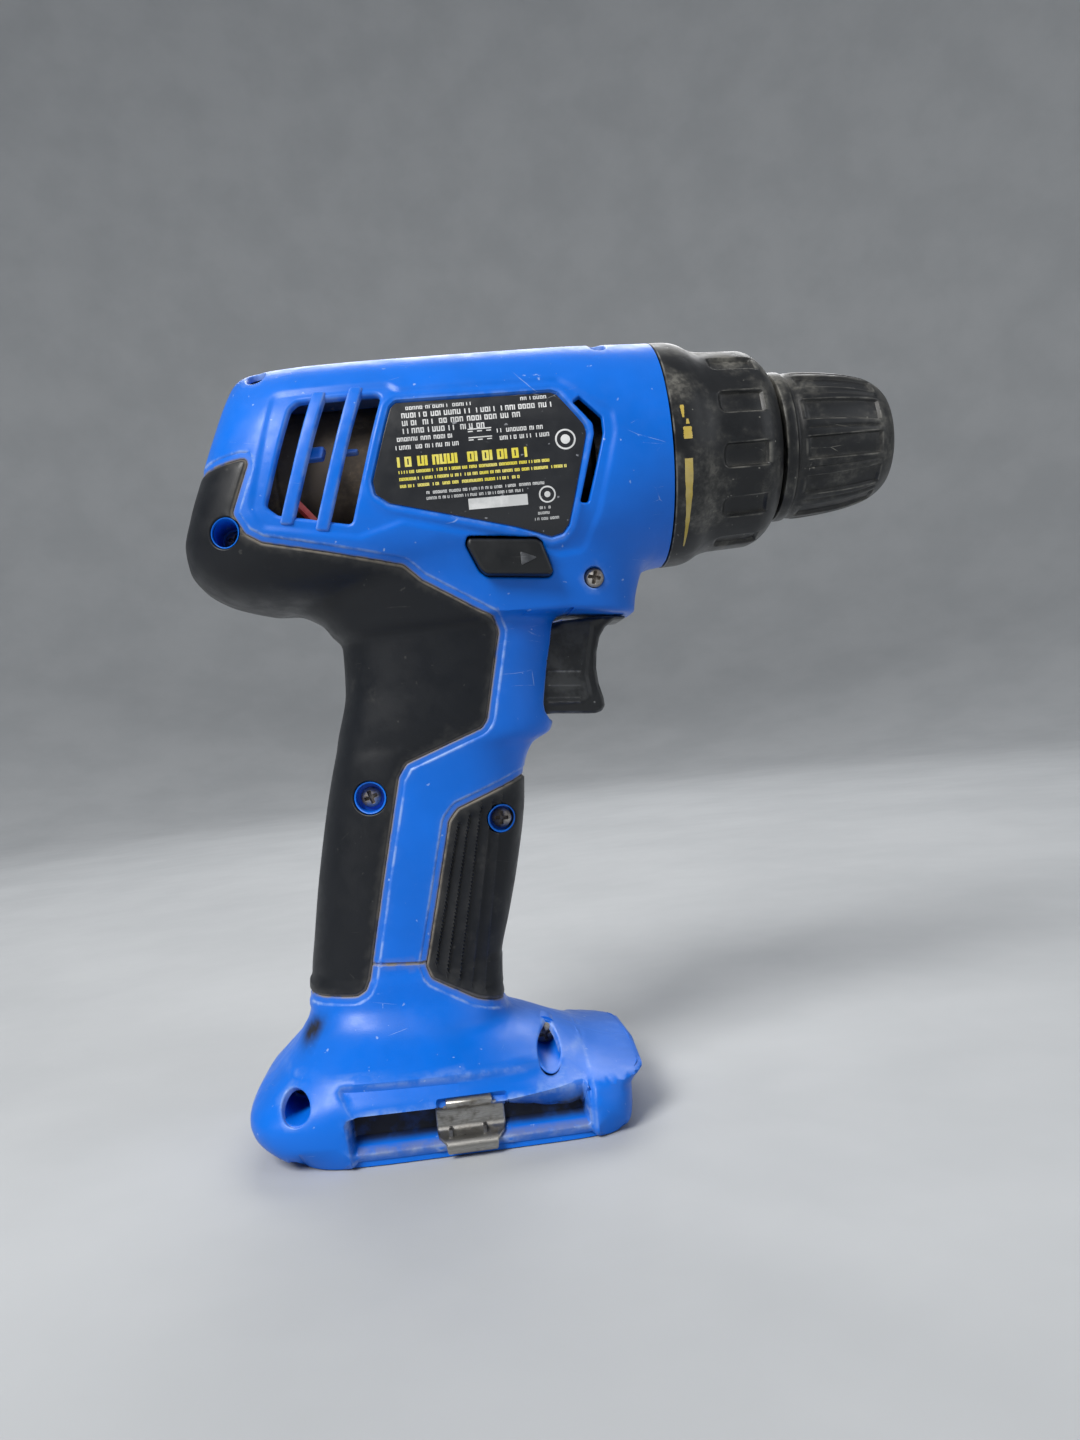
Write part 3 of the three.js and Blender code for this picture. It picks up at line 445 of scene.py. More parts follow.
def piece(name, form, body, replaced=(), material=None, sharp=38, tidy=True, marks=()):
    """A closed mesh in the row frame from a form, which is (points in working millimetres, faces).

    marks holds (attribute name, one value for each point) pairs that the materials read.
    """
    points, faces = form
    mesh = bpy.data.meshes.new(name)
    bm = bmesh.new()
    layers = [(bm.verts.layers.float.new(key), values) for key, values in marks]
    verts = [bm.verts.new(p) for p in to_row(points)]
    for layer, values in layers:
        for vert, value in zip(verts, values):
            vert[layer] = float(value)
    for f in faces:
        try:
            bm.faces.new([verts[i] for i in f])
        except ValueError:
            continue
    if tidy:
        bmesh.ops.remove_doubles(bm, verts=bm.verts, dist=2e-7)
    loose = [v for v in bm.verts if not v.link_faces]
    bmesh.ops.delete(bm, geom=loose, context="VERTS")
    bmesh.ops.recalc_face_normals(bm, faces=bm.faces)
    bm.to_mesh(mesh)
    bm.free()
    mesh.shade_smooth()
    mesh.set_sharp_from_angle(angle=math.radians(sharp))
    made = bpy.data.objects.new(name, mesh)
    bpy.context.scene.collection.objects.link(made)
    if material:
        mesh.materials.append(material)
    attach(made, body)
    if replaced:
        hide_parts(*([replaced] if isinstance(replaced, str) else replaced))
    return made


def triangulate(loops, points):
    """2D triangles over the loops' edges and the free points."""
    verts, edges = [], []
    for loop in loops:
        first = len(verts)
        verts.extend(Vector(p) for p in loop)
        edges.extend((first + i, first + (i + 1) % len(loop)) for i in range(len(loop)))
    verts.extend(Vector(p) for p in points)
    out, _, faces, _, _, _ = delaunay_2d_cdt(verts, edges, [], 0, 1e-5)
    flat = np.array([tuple(v) for v in out])
    tris = np.array([f for f in faces if len(f) == 3])
    corner = flat[tris]
    edge1, edge2 = corner[:, 1] - corner[:, 0], corner[:, 2] - corner[:, 0]
    solid = np.abs(edge1[:, 0] * edge2[:, 1] - edge1[:, 1] * edge2[:, 0]) > 1e-9
    return flat, tris[solid]


def compact(flat, tris):
    """Only the points that the triangles use."""
    used, tris = np.unique(tris, return_inverse=True)
    return flat[used], tris.reshape(-1, 3)


def hexes(spacing):
    rows = []
    for k, z in enumerate(np.arange(-158, 29, spacing * 0.866)):
        x = np.arange(-118, 0, spacing) + (spacing / 2 if k % 2 else 0)
        rows.append(np.stack([x, np.full(len(x), z)], axis=1))
    return np.vstack(rows)


def skin(keep, loops, extras, depth, thickness, spacing, whole=False):
    """Triangles, top points, bottom points and side-view points of one patch of the body, for y > 0.

    keep says which points of the side view belong to it. loops is a list of (loop, roll radius), with
    the patch's own outline first unless it is the whole side. depth and thickness are functions of the
    side-view points: how far the surface lies under the body's, and how thick it is.
    """
    low, high = loops[0][0].min(axis=0) - 1, loops[0][0].max(axis=0) + 1

    def near_patch(points):
        return points if whole else points[np.all((points > low) & (points < high), axis=1)]

    free = [near_patch(SIDE_POINTS)]
    for loop, roll in loops:
        normal = inward(loop)
        for share in (0.12, 0.35, 0.7, 1.05):
            for way in (1, -1):
                ring = loop + normal * way * max(roll, 0.3) * share
                free.append(ring[distance(loop, ring) > max(roll, 0.3) * share * 0.9])
    free.extend(extras)
    near = np.vstack(free)
    grid = near_patch(hexes(spacing))
    grid = grid[keep(grid)]
    grid = grid[distance(SIDE, grid) > 3.2 + spacing * 0.5]
    for loop, roll in loops:
        grid = grid[distance(loop, grid) > max(roll, 0.3) * 1.05 + spacing * 0.45]
    for extra in extras:
        cells = {(int(x / 0.5), int(z / 0.5)) for x, z in extra}
        cells = {(i + a, j + b) for i, j in cells for a in (-1, 0, 1) for b in (-1, 0, 1)}
        grid = grid[np.array([(int(x / 0.5), int(z / 0.5)) not in cells for x, z in grid], bool)]
    near = near[keep(near)]
    flat, tris = triangulate([SIDE] + [loop for loop, _ in loops], np.vstack([near, grid]))
    middle = flat[tris].mean(axis=1)
    tris = tris[keep(middle) & inside(SIDE, middle)]
    flat, tris = compact(flat, tris)

    seam = (distance(SIDE, flat) < 1e-4) & ~at_cut(flat)
    y = np.where(seam, 0, half_width(flat))
    normal = normals(flat, np.maximum(y, 1e-3))
    drop = depth(flat)
    rolled = np.zeros(len(flat))
    for loop, roll in loops:
        if roll > 0:
            rolled = np.maximum(rolled, rolled_edge(distance(loop, flat), roll))
    surface = upright(flat, y)
    top = surface - normal * (drop + rolled)[:, None]
    bottom = surface - normal * (drop + thickness(flat))[:, None]
    for layer in (top, bottom):
        layer[:, 1] = np.maximum(layer[:, 1], SEAM)
    return tris, top, bottom, flat


def close_skin(tris, top, bottom, side):
    """The patch as one closed surface on the given side."""
    count = len(top)
    points = np.vstack([top, bottom]) * np.array([1, side, 1])
    faces = [tuple(t) for t in tris] + [tuple(t[::-1] + count) for t in tris]
    once = {}
    for a, b, c in tris:
        for p, q in ((a, b), (b, c), (c, a)):
            if (q, p) in once:
                del once[(q, p)]
            else:
                once[(p, q)] = True
    faces += [(q, p, p + count, q + count) for p, q in once]
    return points, faces


def slab(outline, half, roll, relief, extras=(), spacing=1.0):
    """A side-view outline made solid from -half to half, its edges rolled and its faces lowered by relief."""
    normal = inward(outline)
    free = []
    for share in (0.05, 0.15, 0.3, 0.5, 0.75, 1.0):
        ring = outline + normal * roll * share
        free.append(ring[distance(outline, ring) > 0.93 * roll * share])
    free += [extra[inside(outline, extra)] for extra in extras]
    grid = hexes(spacing)
    low, high = outline.min(axis=0), outline.max(axis=0)
    grid = grid[np.all((grid > low) & (grid < high), axis=1)]
    free.append(grid[distance(outline, grid) > roll + spacing * 0.4])
    near = np.vstack(free)
    flat, tris = triangulate([outline], near[inside(outline, near)])
    tris = tris[inside(outline, flat[tris].mean(axis=1))]
    flat, tris = compact(flat, tris)
    top = upright(flat, half - rolled_edge(distance(outline, flat), roll) - relief(flat))
    return tris, top, top * [1, -1, 1], flat


def rings_mesh(rings, closed_along=False, caps=True):
    """Faces through rings of equally many points, with flat caps or joined end to end."""
    count, n = len(rings[0]), len(rings)
    points = np.vstack(rings)
    faces = []
    for i in range(n if closed_along else n - 1):
        k = (i + 1) % n
        for j in range(count):
            m = (j + 1) % count
            faces.append((i * count + j, i * count + m, k * count + m, k * count + j))
    if caps and not closed_along:
        faces.append(tuple(range(count))[::-1])
        faces.append(tuple((n - 1) * count + j for j in range(count)))
    return points, faces


def pillow(outline, y0, y1, radius, corner=0.8, spacing=0.6, rows=5):
    """A side-view outline with thickness from y0 to y1 and rounded edges."""
    loop = rounded(outline, corner, spacing)
    normal = inward(loop)
    rings = []
    a = np.linspace(0, math.pi / 2, rows)
    profile = [(radius * (1 - math.sin(t)), radius * (1 - math.cos(t))) for t in a]
    insets = [(inset, y0 + rise) for inset, rise in profile]
    insets += [(inset, y1 - rise) for inset, rise in reversed(profile)]
    for inset, y in insets:
        rings.append(upright(loop + normal * inset, y))
    points, faces = rings_mesh(rings, caps=False)
    for first, way in ((0, -1), (len(points) - len(loop), 1)):
        cap = points[first : first + len(loop), [0, 2]]
        flat, tris = triangulate([cap], np.zeros((0, 2)))
        lookup = [first + int(np.argmin(np.sum((cap - p) ** 2, axis=1))) for p in flat]
        for t in tris[inside(cap, flat[tris].mean(axis=1))]:
            faces.append(tuple(lookup[i] for i in t[::way]))
    return points, faces


def revolved(profile, angles, radius=None):
    """A closed profile of (x, r) turned about the X axis. radius may change r by x and angle."""
    rings = []
    for x, r in profile:
        rr = np.full(len(angles), float(r)) if radius is None else radius(x, r, angles)
        rings.append(np.stack([np.full(len(angles), x), rr * np.cos(angles), rr * np.sin(angles)], axis=1))
    return rings_mesh(rings, closed_along=True)


def cross_revolved(cx, cz, profile, count=40):
    """A closed profile of (r, y) turned about a line along Y at (cx, cz); y may be a function of points."""
    rings = []
    for r, y in profile:
        flat = circle(cx, cz, r, count)
        rings.append(upright(flat, y(flat) if callable(y) else y))
    return rings_mesh(rings, closed_along=True)


# ---------------------------------------------------------------- materials
class Look:
    """Shorthand for building one material's nodes."""

    def __init__(self, name, metallic=0.0):
        self.material = bpy.data.materials.new(name)
        self.material.use_nodes = True
        self.tree = self.material.node_tree
        self.shader = self.tree.nodes["Principled BSDF"]
        self.shader.inputs["Metallic"].default_value = metallic
        self.where = self.tree.nodes.new("ShaderNodeTexCoord").outputs["Object"]

    def node(self, kind, **settings):
        made = self.tree.nodes.new(kind)
        for key, value in settings.items():
            setattr(made, key, value)
        return made

    def put(self, value, socket):
        if isinstance(value, bpy.types.NodeSocket):
            self.tree.links.new(value, socket)
        else:
            socket.default_value = value

    def stretched(self, scale):
        made = self.node("ShaderNodeMapping")
        self.put(self.where, made.inputs["Vector"])
        made.inputs["Scale"].default_value = scale
        return made.outputs["Vector"]

    def noise(self, scale, detail=4.0, rough=0.55, where=None):
        made = self.node("ShaderNodeTexNoise")
        self.put(where or self.where, made.inputs["Vector"])
        made.inputs["Scale"].default_value = scale
        made.inputs["Detail"].default_value = detail
        made.inputs["Roughness"].default_value = rough
        return made.outputs["Fac"]

    def cracks(self, scale, where=None):
        made = self.node("ShaderNodeTexVoronoi", feature="DISTANCE_TO_EDGE")
        self.put(where or self.where, made.inputs["Vector"])
        made.inputs["Scale"].default_value = scale
        return made.outputs["Distance"]

    def span(self, value, low, high, to_low=0.0, to_high=1.0):
        made = self.node("ShaderNodeMapRange", interpolation_type="SMOOTHSTEP")
        self.put(value, made.inputs["Value"])
        for key, number in (("From Min", low), ("From Max", high), ("To Min", to_low), ("To Max", to_high)):
            made.inputs[key].default_value = number
        return made.outputs["Result"]

    def math(self, operation, a, b):
        made = self.node("ShaderNodeMath", operation=operation)
        self.put(a, made.inputs[0])
        self.put(b, made.inputs[1])
        return made.outputs[0]

    def times(self, a, b):
        return self.math("MULTIPLY", a, b)

    def most(self, a, b):
        return self.math("MAXIMUM", a, b)

    def plus(self, a, b):
        return self.math("ADD", a, b)

    def mix(self, share, a, b):
        made = self.node("ShaderNodeMix", data_type="RGBA")
        self.put(share, made.inputs[0])
        self.put(a if isinstance(a, bpy.types.NodeSocket) else (*a, 1), made.inputs[6])
        self.put(b if isinstance(b, bpy.types.NodeSocket) else (*b, 1), made.inputs[7])
        return made.outputs[2]

    def crevice(self, reach, low=0.35, high=0.9):
        """1 deep in narrow gaps and 0 in the open."""
        made = self.node("ShaderNodeAmbientOcclusion", samples=6, only_local=True)
        made.inputs["Distance"].default_value = reach
        return self.span(made.outputs["AO"], low, high, 1.0, 0.0)

    def mark(self, name):
        """A value that the mesh carries at each of its points."""
        return self.node("ShaderNodeAttribute", attribute_name=name).outputs["Fac"]

    def edge(self, low=0.515, high=0.56):
        made = self.node("ShaderNodeNewGeometry")
        return self.span(made.outputs["Pointiness"], low, high)

    def finish(self, colour, roughness, height=None, strength=0.2, reach=0.0002):
        self.put(colour, self.shader.inputs["Base Color"])
        self.put(roughness, self.shader.inputs["Roughness"])
        if height is not None:
            bump = self.node("ShaderNodeBump")
            bump.inputs["Strength"].default_value = strength
            bump.inputs["Distance"].default_value = reach
            self.put(height, bump.inputs["Height"])
            self.put(bump.outputs["Normal"], self.shader.inputs["Normal"])
        return self.material


def moulded(
    name, colour, pale, dust, dust_low, rough, grain, scratch=1.0, edge_wear=0.5, crevice=0.7,
    dark_tint=(0.02, 0.022, 0.025), drawn=False, shine=0.5,
):
    """Moulded plastic or rubber with grain, fine scratches, edges paled by use and settled dust, plus painted
    shadow and painted highlights where the mesh's marks call for them.

    drawn takes the pale edges, painted highlights among them, from the mesh's own marks instead of from its
    sharp edges.
    """
    look = Look(name)
    tone = look.mix(look.span(look.noise(45, 3), 0.35, 0.7), colour, tuple(c * 0.88 for c in colour))
    fine = look.noise(900, 3)
    patches = look.span(look.noise(60, 8, 0.62), dust_low, dust_low + 0.2)
    settled = look.times(patches, look.span(fine, 0.35, 0.65, 0.35, 1.0))
    gaps = look.times(look.crevice(0.0022), look.span(look.noise(260, 4), 0.3, 0.6, 0.35, 1.0))
    all_dust = look.most(look.times(settled, 0.75), look.times(gaps, crevice))
    lines = look.span(look.cracks(38, look.stretched((1.0, 1.3, 3.4))), 0.0, 0.006, 1.0, 0.0)
    broken = look.span(look.noise(90, 6, 0.65), 0.58, 0.68)
    marks = look.times(look.times(lines, broken), scratch)
    specks = look.times(look.span(look.noise(520, 2), 0.71, 0.77), scratch)
    # On the shell these pale marks include a painted highlight along the foot's shoulder crease.
    rubbed_and_lit = look.mark("wear") if drawn else look.edge()
    worn_and_lit = look.times(rubbed_and_lit, look.span(look.noise(210, 6, 0.6), 0.40, 0.62, 0.12, edge_wear))
    pale_share = look.most(look.most(marks, specks), worn_and_lit)
    shade = look.mix(pale_share, tone, pale)
    shade = look.mix(all_dust, shade, dust)
    # The shell's darkening mark paints shadow into the foot's groove, and adds a dark patch at the foot's
    # rear.
    darkened = look.times(look.mark("grime"), look.span(look.noise(300, 5), 0.3, 0.55, 0.85, 1.0))
    shade = look.mix(darkened, shade, dark_tint)
    dusty = look.times(look.mark("dust"), look.span(look.noise(330, 5), 0.3, 0.55, 0.35, 0.95))
    shade = look.mix(dusty, shade, (0.21, 0.185, 0.15))
    grit = look.most(look.most(all_dust, darkened), dusty)
    look.shader.inputs["Specular IOR Level"].default_value = shine
    base = look.span(look.noise(220, 4), 0.3, 0.7, rough - 0.05, rough + 0.07)
    roughness = look.plus(base, look.times(grit, 0.25))
    height = look.plus(look.noise(grain, 2, 0.6), look.times(marks, -0.5))
    return look.finish(shade, roughness, height, 0.12, 0.00012)


def metal(name, colour, rough, dark_tint, dirt_low=0.56):
    """Brushed metal with stains in its gaps."""
    look = Look(name, metallic=1.0)
    lines = look.noise(500, 3, 0.6, look.stretched((1.0, 1.0, 14.0)))
    tone = look.mix(look.span(lines, 0.3, 0.7), colour, tuple(c * 0.72 for c in colour))
    spots = look.span(look.noise(170, 6), dirt_low, dirt_low + 0.16)
    stained = look.most(spots, look.crevice(0.0015, 0.3, 0.85))
    shade = look.mix(look.times(stained, 0.7), tone, dark_tint)
    roughness = look.plus(look.span(lines, 0.3, 0.7, rough, rough + 0.14), look.times(stained, 0.25))
    return look.finish(shade, roughness, lines, 0.08, 0.00008)


# Its near-black darkening colour paints the shadow in the foot's groove and the dark patch at the foot's
# rear.
BLUE = moulded(
    "blue_plastic_look", (0.001, 0.135, 0.64), (0.38, 0.50, 0.70), (0.10, 0.17, 0.34), 0.74, 0.36, 2600,
    0.5, 0.8, 0.1, (0.012, 0.014, 0.022), True, 0.3,
)
RUBBER = moulded(
    "grip_rubber_look", (0.0058, 0.0072, 0.0102), (0.07, 0.068, 0.064), (0.07, 0.068, 0.062), 0.60, 0.42,
    1900, 0.4, 0.5, 0.5, (0.02, 0.02, 0.02), True, 0.3,
)
BLACK = moulded(
    "black_plastic_look", (0.008, 0.009, 0.0105), (0.16, 0.165, 0.165), (0.08, 0.078, 0.07), 0.62, 0.38, 2200,
    0.6, 0.9, 0.4, (0.05, 0.045, 0.04), True, 0.4,
)
WORN_BLACK = moulded(
    "worn_black_look", (0.0055, 0.0062, 0.0075), (0.19, 0.185, 0.165), (0.15, 0.145, 0.128), 0.46, 0.38, 1500,
    1.0, 1.0, 0.85, (0.15, 0.115, 0.075), False, 0.4,
)
FILM = moulded(
    "plate_film_look", (0.014, 0.0155, 0.019), (0.26, 0.27, 0.29), (0.10, 0.10, 0.10), 0.68, 0.34, 1200,
    0.9, 0.4, 0.2,
)
PRINT = moulded(
    "pale_print_look", (0.52, 0.53, 0.53), (0.8, 0.8, 0.8), (0.20, 0.20, 0.20), 0.60, 0.5, 1200, 0.4
)
YELLOW = moulded(
    "yellow_print_look", (0.66, 0.56, 0.015), (0.75, 0.7, 0.3), (0.22, 0.19, 0.06), 0.60, 0.5, 1200, 0.4
)
WORN_YELLOW = moulded(
    "yellow_mark_look", (0.45, 0.32, 0.03), (0.5, 0.42, 0.2), (0.10, 0.09, 0.05), 0.50, 0.6, 1400, 1.0
)
DUSTY = moulded(
    "dusty_motor_look", (0.085, 0.068, 0.055), (0.28, 0.26, 0.23), (0.22, 0.17, 0.12), 0.42, 0.8, 900,
    0.4, 0.6, 0.8,
)
NYLON = moulded("nylon_look", (0.62, 0.58, 0.48), (0.8, 0.78, 0.7), (0.35, 0.3, 0.22), 0.56, 0.5, 1500, 0.3)
RED = moulded(
    "red_insulation_look", (0.42, 0.02, 0.02), (0.6, 0.2, 0.2), (0.3, 0.2, 0.15), 0.6, 0.45, 1500, 0.3
)
RUSTY = metal("screw_head_look", (0.46, 0.44, 0.41), 0.5, (0.12, 0.085, 0.06), dirt_low=0.42)
STEEL = metal("bright_steel_look", (0.42, 0.41, 0.39), 0.27, (0.07, 0.058, 0.042), dirt_low=0.5)
DARK_STEEL = metal("dark_steel_look", (0.20, 0.20, 0.205), 0.34, (0.05, 0.042, 0.035))
BRASS = metal("contact_brass_look", (0.72, 0.50, 0.22), 0.28, (0.12, 0.08, 0.04))

SLOT_LOOKS = {
    "blue_plastic": BLUE, "grip_rubber": RUBBER, "plate_film": FILM, "black_plastic": BLACK,
    "bright_steel": STEEL, "dark_steel": DARK_STEEL, "contact_brass": BRASS, "nylon": NYLON,
    "carbon": DUSTY, "red_insulation": RED, "black_insulation": BLACK,
}


def dress_cad():
    """Every CAD node gets the look of its material slot."""
    slots = {row["node"]: row["material_slot"] for row in frame["record"]["subparts"]}
    for name, node in frame["nodes"].items():
        node.data.materials.clear()
        node.data.materials.append(SLOT_LOOKS[slots[name]])


# ---------------------------------------------------------------- the housing
ROUND_REAR, ROUND_FRONT = rounded(REAR_GRIP, 1.6), rounded(FRONT_GRIP, 1.4)
ROUND_VENT, ROUND_FRONT_VENT = rounded(VENT, 1.2, 0.6), rounded(FRONT_VENT, 0.5, 0.5)
ROUND_PLATE, ROUND_SELECTOR = rounded(PLATE, 1.2, 0.6), rounded(SELECTOR, 0.8, 0.6)
ROUND_WINDOW = rounded(TRIGGER_WINDOW, 1.0, 0.7)
SCREW_HOLES = [(name, circle(x, z, ring if name in RINGED else hole)) for name, x, z, _, hole, ring in SCREWS]
PANEL = rounded(
    [
        (-90.5, 16.6), (-64, 16.4), (-62, 14.4), (-25, 14.2), (-13.4, 5.4), (-13.2, 0.6), (-18.6, -17.6),
        (-22.6, -25.4), (-28.4, -26), (-40, -22.4), (-64, -16), (-74, -18.6), (-95.5, -14.4), (-97.6, -9.6),
    ],
    2.0,
)
RAIL_WINDOW = rounded(
    [(-91.1, -140.6), (-34, -142.6), (-34.8, -160), (-88.3, -160), (-89.5, -147.6), (-87.8, -146.8)], 1.0
)
GROOVE = rounded(
    [(-89.2, -147.4), (-87, -146.6), (-53, -146.9), (-35.6, -145.5), (-35.5, -155.2), (-89, -155.2)], 0.8, 0.6
)
STRIKE_NOTCH = rounded([(-69.4, -145.0), (-53.7, -145.0), (-53.7, -160), (-69.4, -160)], 0.5, 0.5)
STRIP_SEAM = np.array([(-81.8, -117.3), (-69.2, -118.3)])
GROOVE_DEPTH = 5.0
PLATE_SINK, PANEL_SINK = 0.85, 0.55  # how deep the plate's recess is, and the panel's round it
PLATE_LEVEL = PLATE_SINK + PANEL_SINK - 0.35  # how far the plate's face lies under the body's


def bands(loop, reaches):
    """Points beside a loop at each distance, positive inside it."""
    normal = inward(loop)
    return np.vstack([loop + normal * reach for reach in reaches])


def signed(loop, points):
    """Distance to the loop, positive inside it."""
    return np.where(inside(loop, points), 1, -1) * distance(loop, points)


def shell_depth(points):
    plate = signed(ROUND_PLATE, points)
    rim = -0.3 * ridge(plate + 1.1, 0.75)
    made = PLATE_SINK * step(-0.05, 0.3, plate) + rim * (plate < 0.1)
    made += PANEL_SINK * step(-1.0, 1.0, signed(PANEL, points))
    made += 0.4 * (1 - step(0.2, 0.5, distance(STRIP_SEAM, points, closed=False)))
    for loop in (ROUND_REAR, ROUND_FRONT):
        made += 0.3 * (1 - step(1.5, 1.9, distance(loop, points)))
    x, z = points[:, 0], points[:, 1]
    half = half_width(points)
    window = step(-0.6, 0.7, signed(RAIL_WINDOW, points)) * step(22, 30, half)
    upper = -141.6 - (x - FOOT_MIDDLE) * 0.035
    face = 0.25 + 1.0 * step(upper - 4.6, upper + 0.4, z)
    made += window * np.where(z > -146.9, face, 1.3)
    slope = np.clip((z + 155.1) / 2.4, 0, 1)
    deepest = np.clip(half - 29.3, 0, GROOVE_DEPTH)
    made += deepest * step(-0.1, 0.4, signed(GROOVE, points)) * slope
    made += 1.3 * step(-0.1, 0.35, signed(STRIKE_NOTCH, points)) * (z > -147.5)
    return made


def shell_thickness(points):
    return WALL - 0.9 * step(-1.6, 0.2, signed(GROOVE, points))


def shell_marks(points):
    """Edges paled by use with a painted highlight along the foot's shoulder crease, painted shadow in the
    groove and a dark patch at the foot's rear, and settled dust, each from 0 to 1.
    """
    x, z = points[:, 0], points[:, 1]
    wear, dust = np.zeros(len(points)), np.zeros(len(points))
    for loop in (ROUND_REAR, ROUND_FRONT):
        d = distance(loop, points)
        wear = np.maximum(wear, 0.75 * ridge(d - 1.8, 0.28))
        dust = np.maximum(dust, 1 - step(0.1, 0.7, d))
    dust = np.maximum(dust, 1 - step(0.3, 0.6, distance(STRIP_SEAM, points, closed=False)))
    for loop, share in ((ROUND_PLATE, 0.25), (RAIL_WINDOW, 0.35), (GROOVE, 0.7), (ROUND_VENT, 0.3)):
        wear = np.maximum(wear, share * ridge(signed(loop, points) + 0.1, 0.35))
    # Painted highlight: a pale line along the crease where the foot's sloping shoulder meets its side wall.
    shoulder = -140.4 - (x - FOOT_MIDDLE) * 0.07
    wear = np.maximum(wear, 0.3 * ridge(z - shoulder, 0.4) * step(-108, -100, x) * step(-34, -40, x))
    # Painted shadow: the groove under the upper rail is darkened, as if shaded by the rail.
    grime = step(0.0, 0.7, signed(GROOVE, points)) * step(-154.2, -152.9, z)
    dust = np.maximum(dust, 0.5 * step(-154.0, -154.6, z) * step(-156, -155, z) * (x > -88) * (x < -36))
    # A dark patch at the rear corner where the handle meets the foot.
    dark_patch = ridge(x + 97.6 - (z + 131.6) * 0.7, 1.9) * ridge(z + 131.6, 2.4)
    grime = np.maximum(grime, np.clip(dark_patch * 1.5, 0, 1))
    wear = np.maximum(wear, 0.8 * ridge(z + 157.2, 0.6) * (x > -89) * (x < -35))
    return wear, grime, dust


def copies(start, end, shifts, spacing):
    """Points along copies of one line, each shifted upwards."""
    return np.vstack([resample(np.array([start, end]) + [0, up], spacing, closed=False) for up in shifts])


# extra points where the shell's shape changes fast
SHELL_EXTRAS = [
    copies(
        (-27, -38.6), (-37, -38.6),
        (2, 1.5, 1.1, 0.8, 0.6, 0.4, 0.2, 0, -0.2, -0.5, -0.9, -1.4, -2, -2.6), 0.5,
    ),
    bands(ROUND_PLATE, (-1.9, -1.5, -1.1, -0.7, -0.35, -0.05, 0.12, 0.3, 0.6)),
    bands(PANEL, (-1.0, -0.6, -0.2, 0.2, 0.6, 1.0)),
    bands(ROUND_REAR, (-1.35, -1.55, -1.75, -2.0, -2.3)),
    bands(ROUND_FRONT, (-1.35, -1.55, -1.75, -2.0, -2.3)),
    bands(RAIL_WINDOW, (-0.6, -0.2, 0.2, 0.7)),
    bands(GROOVE, (-0.3, -0.1, 0.02, 0.15, 0.28, 0.4, 0.8)),
    bands(STRIKE_NOTCH, (-0.1, 0.12, 0.35)),
    copies(*STRIP_SEAM, (-0.5, -0.3, -0.1, 0.1, 0.3, 0.5), 0.8),
    copies((-88, -154), (-36.5, -154), (-0.9, 0, 0.8, 1.4), 0.9),
]


# the shell's openings, each with how far its edge is rolled
OPENINGS = [
    (ROUND_REAR, 0.55), (ROUND_FRONT, 0.5), (ROUND_VENT, 0.9), (ROUND_FRONT_VENT, 0.45),
    (ROUND_SELECTOR, 0.5), (ROUND_WINDOW, 0.6),
]


def clear_of(holes, points):
    """True for points in none of the holes."""
    made = np.ones(len(points), bool)
    for hole in holes:
        made &= ~inside(hole, points)
    return made


def build_shell(side):
    loops = list(OPENINGS)
    if side == RIGHT:
        loops += [(loop, 0.4) for name, loop in SCREW_HOLES if name not in RINGED]
    holes = [loop for loop, _ in loops]
    *parts, flat = skin(
        lambda p: clear_of(holes, p), loops, SHELL_EXTRAS, shell_depth, shell_thickness, 1.35, whole=True
    )
    wear, grime, dust = shell_marks(flat)
    for loop in holes[len(OPENINGS) - 1 :]:
        wear = np.maximum(wear, 0.6 * ridge(distance(loop, flat), 0.4))
    marks = both_layers(wear=wear, grime=grime, dust=dust)
    name = f"{WORDS[side]}_shell"
    piece(f"{name}_skin", close_skin(*parts, side), "housing", name, BLUE, marks=marks)


def groove_depth(points):
    """Saw-tooth steps: each falls away at its line and climbs back towards the front."""
    made = np.zeros(len(points))
    for top, bottom in GRIP_GROOVES:
        top, along = np.array(top), np.array(bottom) - np.array(top)
        length = np.linalg.norm(along)
        along = along / length
        front = np.array([-along[1], along[0]])
        run, across = (points - top) @ along, (points - top) @ front
        ends = step(-0.4, 0.5, run) * (1 - step(length - 0.5, length + 0.4, run))
        made = np.maximum(made, step(-0.12, 0.12, across) * np.clip(1 - across / 2.7, 0, 1) * ends)
    return made


def build_grip(side, rear):
    loop = ROUND_REAR if rear else ROUND_FRONT
    holes = [h for name, h in SCREW_HOLES if side == RIGHT and name in RINGED]
    loops = [(loop, 0.8)] + [(h, 0.35) for h in holes]
    extras = []
    if not rear:
        for top, bottom in GRIP_GROOVES:
            line = resample([top, bottom], 0.9, closed=False)
            extras.append(np.vstack([line + [on, on * 0.25] for on in (-0.5, -0.14, 0, 0.14, 0.5, 1.0)]))

    def keep(points):
        return inside(loop, points) & clear_of(holes, points)

    def crown(points):
        d = distance(loop, points)
        rise = (0.22 * step(0.3, 1.4, d) + 0.33 * step(1, 9, d)) * step(0, 6, distance(SIDE, points))
        return 0.1 - rise

    depth = crown if rear else (lambda p: groove_depth(p) - 0.15)
    *parts, flat = skin(keep, loops, extras, depth, always(WALL), 1.3)
    d = distance(loop, flat)
    wear = 0.7 * ridge(d - 0.9, 0.5)
    if not rear:
        for line in GRIP_GROOVES:
            near = distance(np.array(line) - [0.22, 0], flat, closed=False)
            wear = np.maximum(wear, ridge(near, 0.25))
    marks = both_layers(wear=wear, dust=1 - step(0.05, 0.6, d))
    node = f"{WORDS[side]}_{'rear' if rear else 'front'}_grip"
    piece(f"{node}_skin", close_skin(*parts, side), "housing", node, RUBBER, marks=marks)


